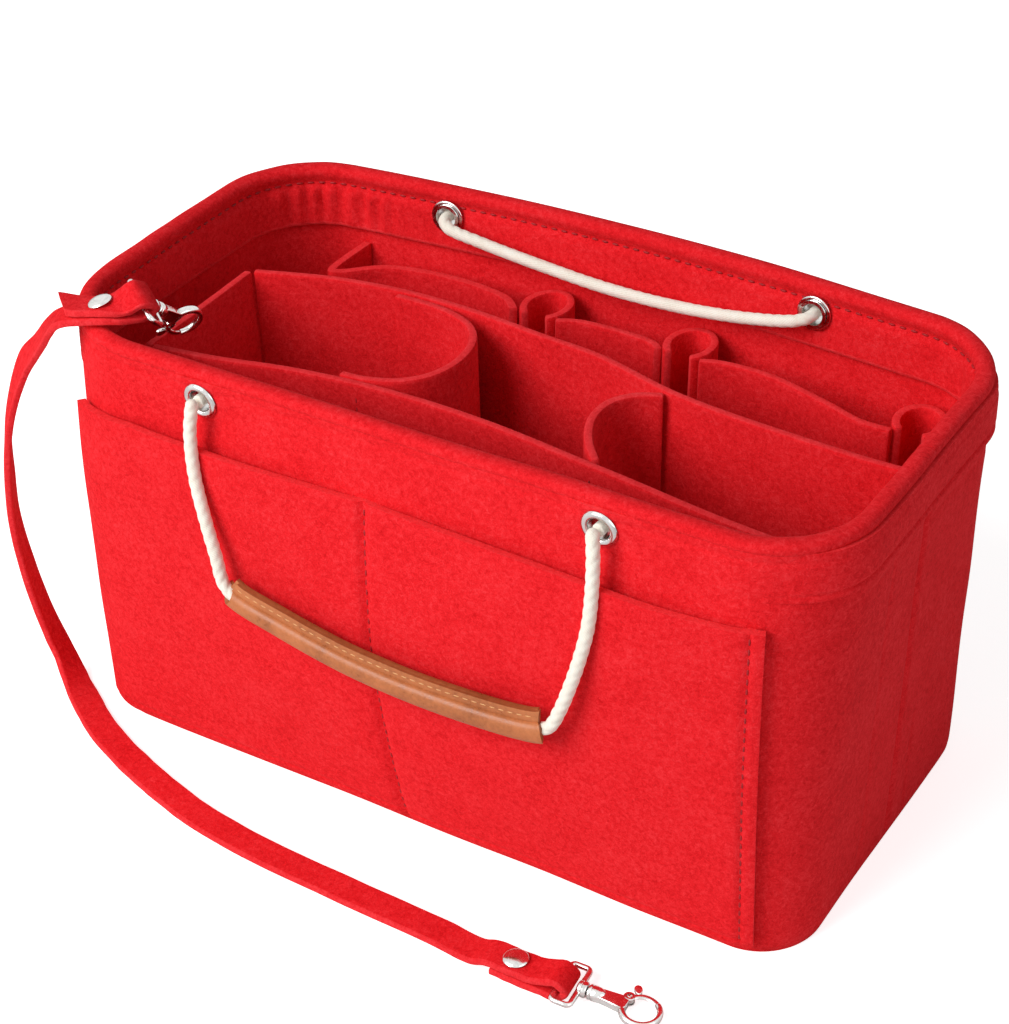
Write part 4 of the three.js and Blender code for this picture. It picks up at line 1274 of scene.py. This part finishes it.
class ORGANIZER_OT_ropes(bpy.types.Operator):
    """Make the cotton rope handles, outside and inside the tub"""

    bl_idname = "organizer.ropes"
    bl_label = "Ropes"

    def execute(self, context):
        rope_piece("front_handle_cotton", FRONT_OUTER, "front_handle", "front_handle_rope", True)
        rope_piece("back_handle_cotton", BACK_OUTER, "back_handle", "back_handle_rope", True)
        rope_piece("front_inner_cotton", FRONT_INNER, "tub", "front_inner_rope", False)
        rope_piece("back_inner_cotton", BACK_INNER, "tub", "back_inner_rope", False)
        return {"FINISHED"}


SLEEVE_SAG = 2.2
SLEEVE_STITCH = 7.3


def sleeve_section(thickness):
    """The folded leather's middle line: down one flap, round the rope and up the other."""
    radius = MODEL_ROPE / 2 + 0.5 + thickness / 2
    half = thickness / 2 + 0.06
    neck = math.asin(half / radius)
    points = [(-half, z) for z in (10.2, 9.2, 8.4, 7.9, 7.4, 6.6, 5.6, 4.6)]
    turns = 22
    for i in range(turns + 1):
        angle = lerp(neck, 2 * math.pi - neck, i / turns)
        points.append((-radius * math.sin(angle), radius * math.cos(angle)))
    points += [(half, z) for z in (4.6, 5.6, 6.6, 7.4, 7.9, 8.4, 9.2, 10.2)]
    return points


def sleeve_frame(route, u):
    """A point of the rope, with the sleeve's slanting directions out and up, drawn in a little."""
    along = route_along(route, u)
    out = (Vector((0, 1, 0)) - along).normalized()
    rise = along.cross(out)
    return route_point(route, u), along, out, rise if rise.z > 0 else -rise


class ORGANIZER_OT_sleeves(bpy.types.Operator):
    """Make the tan leather sleeves folded round the ropes, and their stitches"""

    bl_idname = "organizer.sleeves"
    bl_label = "Sleeves"

    def execute(self, context):
        thickness = sizes().leather_thickness / MM
        section = sleeve_section(thickness)
        count = 90
        for label, route, first, side in (("front", FRONT_OUTER, 5.55, -1), ("back", BACK_OUTER, 6, 1)):
            start, end = first / (len(route) - 1), 10 / (len(route) - 1)
            columns = [lerp(start, end, i / count) for i in range(count + 1)]

            def place(u, w, route=route, start=start, end=end):
                across, up = section[w]
                point, along, out, rise = sleeve_frame(route, u)
                pinch = 0.16 * bell(up - SLEEVE_STITCH, 0.55) * (1 if across > 0 else -1)
                lift = 0.2 * noise.noise(Vector((u * 40, up * 0.4, across * 0.2)))
                share = (u - start) / (end - start)
                sag = SLEEVE_SAG * lerp(0.4, 1, share) * smooth(2, -3, up)
                reach = 0.28 * max(0.0, up) * smooth(0.9, 1, share)
                height = up - sag + lift * smooth(4, 9, up)
                return (point + along * reach + out * (across - pinch) + rise * height) * MM

            piece = grid(f"{label}_sleeve_leather", columns, range(len(section)), place)
            paint(piece, "leather", "leather_edge")
            thicken(piece, thickness, 0, 0.0003)
            place_piece(piece, f"{label}_handle", "tan_leather", f"{label}_leather_sleeve")
            for face in (-1, 1):
                line, outward = [], []
                for u in columns[1:-1]:
                    point, _, out, rise = sleeve_frame(route, u)
                    line.append((point + out * face * (thickness + 0.05) + rise * SLEEVE_STITCH) * MM)
                    outward.append(out * face)
                stitch_row(
                    f"{label}_sleeve_{'outer' if face == side else 'inner'}_stitches",
                    line, outward, "sleeve_thread", "tan_leather", f"{label}_handle",
                    length=0.0024, spacing=0.0033, thickness=0.00062,
                )
        return {"FINISHED"}


# Key strap, rivets and clasps


def arc(cx, cy, radius, turn, count, step):
    """Points round a corner, from a quarter turn on in steps of degrees."""
    angles = (math.radians(turn * 90 + i * step) for i in range(count))
    return [(cx + radius * math.cos(angle), cy + radius * math.sin(angle)) for angle in angles]


class ORGANIZER_OT_key_strap(bpy.types.Operator):
    """Make the flat felt key strap along its route"""

    bl_idname = "organizer.key_strap"
    bl_label = "Key strap"

    def execute(self, context):
        half = sizes().strap_width / MM / 2
        thin = sizes().strap_thickness / MM / 2
        corner = 0.75
        section = []
        for turn, (across, through) in enumerate(((1, 1), (-1, 1), (-1, -1), (1, -1))):
            section += arc(across * (half - corner), through * (thin - corner), corner, turn, 4, 30)
        dense = []
        for a, b in pairwise(section + section[:1]):
            steps = max(1, round(math.dist(a, b) / 1.6))
            dense += [(lerp(a[0], b[0], i / steps), lerp(a[1], b[1], i / steps)) for i in range(steps)]
        dense.append(dense[0])

        def place(u, w):
            t = w / STRAP_STEPS
            along = route_along(STRAP_ROUTE, t)
            width = route_point(STRAP_WIDTHS, t)
            width = (width - along * width.dot(along)).normalized()
            across, through = dense[u]
            ragged = noise.noise(Vector((w * 0.35, across * 0.3, 4.2)))
            edge = 0.22 * ragged * smooth(half - 2, half, abs(across))
            point = route_point(STRAP_ROUTE, t)
            from_tail = (point - STRAP_ROUTE[0]).length if w < 24 else 20
            slant = lerp(TAIL_SLANT, -0.35 * TAIL_SLANT, (across / half + 1) / 2) * max(0.0, 1 - from_tail / 18)
            return (point + along * slant + width * (across + edge) + along.cross(width) * through) * MM

        piece = grid("key_strap_felt", range(len(dense)), range(STRAP_STEPS + 1), place)
        paint(piece, "felt", "felt_edge_fuzz_and_highlight")
        # The strap's edges take the lighter edge finish: partly fuzz, partly a painted highlight.
        edge_columns = {i for i, (across, _) in enumerate(dense) if abs(across) > half - corner - 0.01}
        uvs = piece.data.uv_layers[0].data
        for polygon in piece.data.polygons:
            columns = {round(uvs[i].uv.x * (len(dense) - 1)) for i in polygon.loop_indices}
            polygon.material_index = 1 if columns <= edge_columns else 0
        weld(piece)
        soften(piece, 60)
        place_piece(piece, "tub", "felt", "key_strap")
        return {"FINISHED"}


def rivet_frame(lower, upper):
    foot, top = STRAP_ROUTE[lower], STRAP_ROUTE[upper]
    axis = top - foot
    matrix = Vector((0, 0, 1)).rotation_difference(axis).to_matrix().to_4x4()
    matrix.translation = foot * MM
    return matrix, axis.length


class ORGANIZER_OT_rivets(bpy.types.Operator):
    """Make the domed rivets that hold the strap's folds"""

    bl_idname = "organizer.rivets"
    bl_label = "Rivets"

    def execute(self, context):
        thin = sizes().strap_thickness / MM / 2
        for node, pair in (("inner_end_rivet", INNER_RIVET), ("outer_end_rivet", OUTER_RIVET)):
            matrix, length = rivet_frame(*pair)
            seat = length + thin + 0.55
            profile = [
                (0.05, seat + 1.5), (1.0, seat + 1.46), (2.0, seat + 1.32), (3.0, seat + 1.08),
                (3.7, seat + 0.78), (4.1, seat + 0.5), (4.3, seat + 0.2), (4.2, seat - 0.05),
                (3.9, seat - 0.15), (1.6, seat),
                (1.5, seat - 0.4), (1.5, 0.95 - thin), (0.05, 0.95 - thin),
            ]
            finish_metal(turned(f"{node}_plated", profile, 40, closed=False), matrix, node)
        return {"FINISHED"}


def clasp_frame(fold, along, bar):
    x = Vector(along).normalized()
    y = Vector(bar)
    y = (y - x * y.dot(x)).normalized()
    matrix = Matrix((x, y, x.cross(y))).transposed().to_4x4()
    matrix.translation = (STRAP_ROUTE[fold[0]] + STRAP_ROUTE[fold[1]]) / 2 * MM
    return matrix


def bent_bar(name, route, size_at, sides=14, closed=False):
    """A rounded bar along a route of flat points, with a half width and half height at each."""
    count = len(route)
    steps = list(range(count + 1 if closed else count))

    def place(u, w):
        i = w % count
        a = route[(i - 1) % count] if closed or i > 0 else route[i]
        b = route[(i + 1) % count] if closed or i < count - 1 else route[i]
        along = (b - a).normalized()
        side = Vector((-along.y, along.x, 0))
        wide, high = size_at(i)
        angle = 2 * math.pi * u
        return (route[i] + side * wide * math.cos(angle) + Vector((0, 0, 1)) * high * math.sin(angle)) * MM

    piece = grid(name, [i / sides for i in range(sides + 1)], steps, place)
    weld(piece, fill=not closed)
    return piece


def rounded_block(name, points, half_height, rounding=0.35):
    """A flat outline extruded up, with its edges bevelled."""
    add = bpy.ops.mesh.primitive_circle_add
    piece = added(add, name, vertices=len(points), radius=MM, fill_type="NGON")
    for vertex, (x, y) in zip(piece.data.vertices, points):
        vertex.co = metres(x, y, -half_height)
    with editing(piece):
        bpy.ops.mesh.extrude_region_move(TRANSFORM_OT_translate={"value": (0, 0, 2 * half_height * MM)})
        face_outward()
    round_edges(piece, rounding * MM, 3, 35)
    return piece


GATE_PIVOT_ANGLE = math.radians(150)
TAB_ANGLE = math.radians(118)
RING_CENTRE = 27.5
RING_MIDDLE = 6.1


def ring_point(angle):
    return Vector((RING_CENTRE + RING_MIDDLE * math.cos(angle), RING_MIDDLE * math.sin(angle), 0))


def ring_arc(begin, end, steps):
    return [ring_point(lerp(begin, end, i / steps)) for i in range(steps + 1)]


GATE_PIVOT = Matrix.Translation(ring_point(GATE_PIVOT_ANGLE) * MM)


def lying(name, profile, **settings):
    """A turned piece that lies along X."""
    return move_mesh(turned(name, profile, 28, **settings), Matrix.Rotation(math.radians(90), 4, "Y"))


class ORGANIZER_OT_clasps(bpy.types.Operator):
    """Make the two lobster clasps: wire loop, swivel hook and sprung gate"""

    bl_idname = "organizer.clasps"
    bl_label = "Clasps"

    def execute(self, context):
        clasps = (
            ("inner", INNER_FOLD, (0, 0.75, -0.661), (-0.8, 0.41, 0.44), -90),
            ("outer", OUTER_FOLD, (1, 0.1, -0.075), (-0.1, 1, 0), 0),
        )
        for name, fold, along, bar, swivel in clasps:
            still = clasp_frame(fold, along, bar)
            swung = still @ Matrix.Rotation(math.radians(swivel), 4, "X")
            parts = (
                (self.loop(name), "loop", still, "tub"),
                (self.hook(name), "hook", swung, f"{name}_hook"),
                (self.gate(name), "gate", swung, f"{name}_gate"),
            )
            for piece, kind, matrix, body in parts:
                finish_metal(piece, matrix, f"{name}_clasp_{kind}", body, 40)
        return {"FINISHED"}

    def loop(self, name):
        half, depth, corner = 8.7, 6.6, 1.6
        corners = ((depth - corner, 1), (corner, 1), (corner, -1), (depth - corner, -1))
        route = []
        for turn, (x, side) in enumerate(corners):
            route += [Vector((*p, 0)) for p in arc(x, side * (half - corner), corner, turn, 6, 18)]
        wire = bent_bar(f"{name}_loop_wire", route, lambda i: (1, 1), closed=True)
        profile = [
            (0.3, 5.7), (1.7, 5.75), (2.3, 6.0), (2.7, 6.5), (2.7, 7.2), (2.45, 7.45), (2.7, 7.7), (2.7, 8.6),
            (2.3, 9.1), (1.2, 9.2), (1.1, 9.3), (1.1, 13), (0.3, 13.2),
        ]
        barrel = lying(f"{name}_barrel", profile, closed=False)
        return join_pieces(f"{name}_clasp_loop_plated", wire, barrel)

    def hook(self, name):
        profile = [
            (1.5, 9.5), (2.2, 9.55), (2.55, 9.9), (2.6, 10.4), (2.35, 10.7), (2.6, 11.0), (2.6, 12.4),
            (2.45, 13.6), (2.1, 14.6), (1.6, 15.1), (0.3, 15.2), (0.3, 13.5), (1.5, 13.4),
        ]
        collar = lying(f"{name}_collar", profile)
        points = [
            (12.6, -2.0), (14.5, -2.2), (18, -2.5), (21.4, -2.9), (22.4, -2.5), (22.9, -1.6),
            (22.9, 1.6), (22.4, 2.5), (21.2, 2.8), (18, 2.5), (14.5, 2.2), (12.6, 2.0),
        ]
        stem = rounded_block(f"{name}_stem", points, 1.45)
        begin, end = GATE_PIVOT_ANGLE + 0.1, self.reach_angle(9.4) + 2 * math.pi
        route = ring_arc(begin, end, 40)
        jaw = bent_bar(
            f"{name}_jaw", route, lambda i: (lerp(1.3, 1.05, i / 40), lerp(1.5, 1.1, smooth(25, 40, i)))
        )
        profile = [(0.85, 0.9), (1.9, 0.9), (1.9, 1.3), (1.6, 1.5), (0.85, 1.5)]
        cheeks = [turned(f"{name}_cheek{side}", profile, 24) for side in (-1, 1)]
        move_mesh(cheeks[0], Matrix.Rotation(math.pi, 4, "X"))
        for cheek in cheeks:
            move_mesh(cheek, GATE_PIVOT)
        return join_pieces(f"{name}_clasp_hook_plated", collar, stem, jaw, *cheeks)

    def gate(self, name):
        begin, end = GATE_PIVOT_ANGLE, self.reach_angle(9.0)
        leaf = bent_bar(f"{name}_leaf", ring_arc(begin, end, 20), lambda i: (1.0, lerp(0.6, 0.55, i / 20)), 10)
        hub = turned(f"{name}_hub", [(0.3, -0.6), (1.6, -0.6), (1.6, 0.6), (0.3, 0.6)], 20)
        profile = [(0.05, 1.5), (0.4, 1.5), (0.6, 1.35), (0.6, -1.35), (0.4, -1.5), (0.05, -1.5)]
        pin = turned(f"{name}_pin", profile, 16, closed=False)
        for piece in (hub, pin):
            move_mesh(piece, GATE_PIVOT)
        knob = []
        for i in range(12):
            angle = 2 * math.pi * i / 12
            reach = RING_MIDDLE + 2.6 + 2.0 * math.cos(angle)
            knob.append((reach, 1.55 * math.sin(angle) * lerp(0.75, 1.05, (math.cos(angle) + 1) / 2)))
        tab = rounded_block(f"{name}_tab", knob, 0.6, 0.25)
        move_mesh(tab, Matrix.Translation(metres(RING_CENTRE, 0, 0)) @ Matrix.Rotation(TAB_ANGLE, 4, "Z"))
        return join_pieces(f"{name}_clasp_gate_plated", leaf, hub, pin, tab)

    def reach_angle(self, reach):
        cosine = (2 * RING_MIDDLE**2 - reach**2) / (2 * RING_MIDDLE**2)
        return GATE_PIVOT_ANGLE - math.acos(cosine)


# Stage: floor, lamps, world and camera

CAMERA_TURNS = (32.68, 34.06, -1.83)
CAMERA_TARGET = metres(-11.07, 7.92, 80)
CAMERA_DISTANCE = 0.85063
CAMERA_DROP = 0.0007
FOCAL_PIXELS = 2403.7
PHOTO_HEIGHT = 1024
SENSOR = 36
FLOOR_GLOW = 0.75
WORLD_LIGHT = 0.22
LAMP_TARGET = Vector((0, 0, 0.07))


class ORGANIZER_OT_stage(bpy.types.Operator):
    """Make the floor, the lamps, the pale world and the camera"""

    bl_idname = "organizer.stage"
    bl_label = "Stage"

    def execute(self, context):
        scene = context.scene
        scene.view_settings.view_transform = "Standard"
        self.camera(scene)
        self.floor()
        self.world(scene)
        self.lamp("key_lamp", (-0.75, -1.5, 1.35), 1.6, 43)
        self.lamp("fill_lamp", (1.5, -0.35, 0.7), 1.4, 3.2)
        return {"FINISHED"}

    def camera(self, scene):
        azimuth, elevation, roll = (math.radians(v) for v in CAMERA_TURNS)
        flat = math.cos(elevation)
        back = Vector((math.sin(azimuth) * flat, -math.cos(azimuth) * flat, math.sin(elevation)))
        right = Vector((math.cos(azimuth), math.sin(azimuth), 0))
        up = back.cross(right)
        turned_right = right * math.cos(roll) + up * math.sin(roll)
        turned_up = up * math.cos(roll) - right * math.sin(roll)
        data = bpy.data.cameras.new("camera")
        data.lens = FOCAL_PIXELS * SENSOR / PHOTO_HEIGHT
        data.sensor_width = SENSOR
        data.clip_start = 0.05
        data.clip_end = 20
        camera = bpy.data.objects.new("camera", data)
        matrix = Matrix((turned_right, turned_up, back)).transposed().to_4x4()
        matrix.translation = CAMERA_TARGET + back * CAMERA_DISTANCE - turned_up * CAMERA_DROP
        camera.matrix_world = matrix
        scene.collection.objects.link(camera)
        scene.camera = camera

    def floor(self):
        floor = added(bpy.ops.mesh.primitive_plane_add, "floor", size=8)
        made = new_finish("floor")
        floor.data.materials.append(
            made.finished({"Base Color": (0.86, 0.86, 0.86, 1), "Roughness": 0.9, "Specular IOR Level": 0.1})
        )
        seen = made.add("LightPath").outputs["Is Camera Ray"]
        glow = made.add("Emission", Strength=made.math("MULTIPLY", seen, FLOOR_GLOW))
        both = made.add("AddShader")
        for socket, part in zip(both.inputs, (made.nodes["Principled BSDF"], glow)):
            made.feed(socket, part.outputs[0])
        made.feed(made.nodes["Material Output"].inputs["Surface"], both.outputs[0])

    def world(self, scene):
        scene.world = bpy.data.worlds.new("pale_world")
        made = Nodes(scene.world)
        rays = made.add("LightPath").outputs
        seen = made.math("MAXIMUM", rays["Is Camera Ray"], rays["Is Glossy Ray"])
        seen = made.math("MAXIMUM", seen, rays["Is Transmission Ray"])
        strength = made.math("MULTIPLY_ADD", seen, 1 - WORLD_LIGHT, WORLD_LIGHT)
        made.dress(made.nodes["Background"], {"Color": (1, 1, 1, 1), "Strength": strength})

    def lamp(self, name, place, size, power):
        data = bpy.data.lights.new(name, "AREA")
        data.shape = "DISK"
        data.size = size
        data.energy = power
        lamp = bpy.data.objects.new(name, data)
        lamp.location = place
        aim = LAMP_TARGET - Vector(place)
        lamp.rotation_euler = aim.to_track_quat("-Z", "Y").to_euler()
        bpy.context.scene.collection.objects.link(lamp)


class ORGANIZER_PT_panel(bpy.types.Panel):
    """The organizer's pieces, sizes and finishes"""

    bl_label = "Purse Organizer"
    bl_idname = "ORGANIZER_PT_panel"
    bl_space_type = "VIEW_3D"
    bl_region_type = "UI"
    bl_category = "Organizer"

    def draw(self, context):
        for step in STEPS:
            self.layout.operator(step.bl_idname)
        for group in (context.scene.organizer_sizes, context.scene.organizer_finishes):
            for key in group.__annotations__:
                self.layout.prop(group, key)


STEPS = (
    ORGANIZER_OT_stage,
    ORGANIZER_OT_key_strap,
    ORGANIZER_OT_rivets,
    ORGANIZER_OT_clasps,
    ORGANIZER_OT_walls,
    ORGANIZER_OT_base,
    ORGANIZER_OT_rim,
    ORGANIZER_OT_side_bands,
    ORGANIZER_OT_outer_pockets,
    ORGANIZER_OT_dividers,
    ORGANIZER_OT_cup_strips,
    ORGANIZER_OT_pen_loops,
    ORGANIZER_OT_inner_pockets,
    ORGANIZER_OT_eyelets,
    ORGANIZER_OT_ropes,
    ORGANIZER_OT_sleeves,
)
CLASSES = (OrganizerSizes, OrganizerFinishes, *STEPS, ORGANIZER_PT_panel)


def register():
    for cls in CLASSES:
        bpy.utils.register_class(cls)
    bpy.types.Scene.organizer_sizes = bpy.props.PointerProperty(type=OrganizerSizes)
    bpy.types.Scene.organizer_finishes = bpy.props.PointerProperty(type=OrganizerFinishes)


def unregister():
    del bpy.types.Scene.organizer_finishes
    del bpy.types.Scene.organizer_sizes
    for cls in reversed(CLASSES):
        bpy.utils.unregister_class(cls)


def declare_cord():
    """Works out the strap's path and the rivets and clasp parts on it; nothing is done with them."""
    path = [route_point(STRAP_ROUTE, i / STRAP_STEPS) * MM for i in range(STRAP_STEPS + 1)]
    ends = ("inner", "outer")
    riders = [f"{end}_end_rivet" for end in ends]
    riders += [f"{end}_clasp_{part}" for end in ends for part in ("loop", "hook", "gate")]
    [tuple(p) for p in path]


def main():
    register()
    for step in STEPS:
        group, name = step.bl_idname.split(".")
        getattr(getattr(bpy.ops, group), name)()
    declare_cord()


if __name__ == "__main__":
    main()
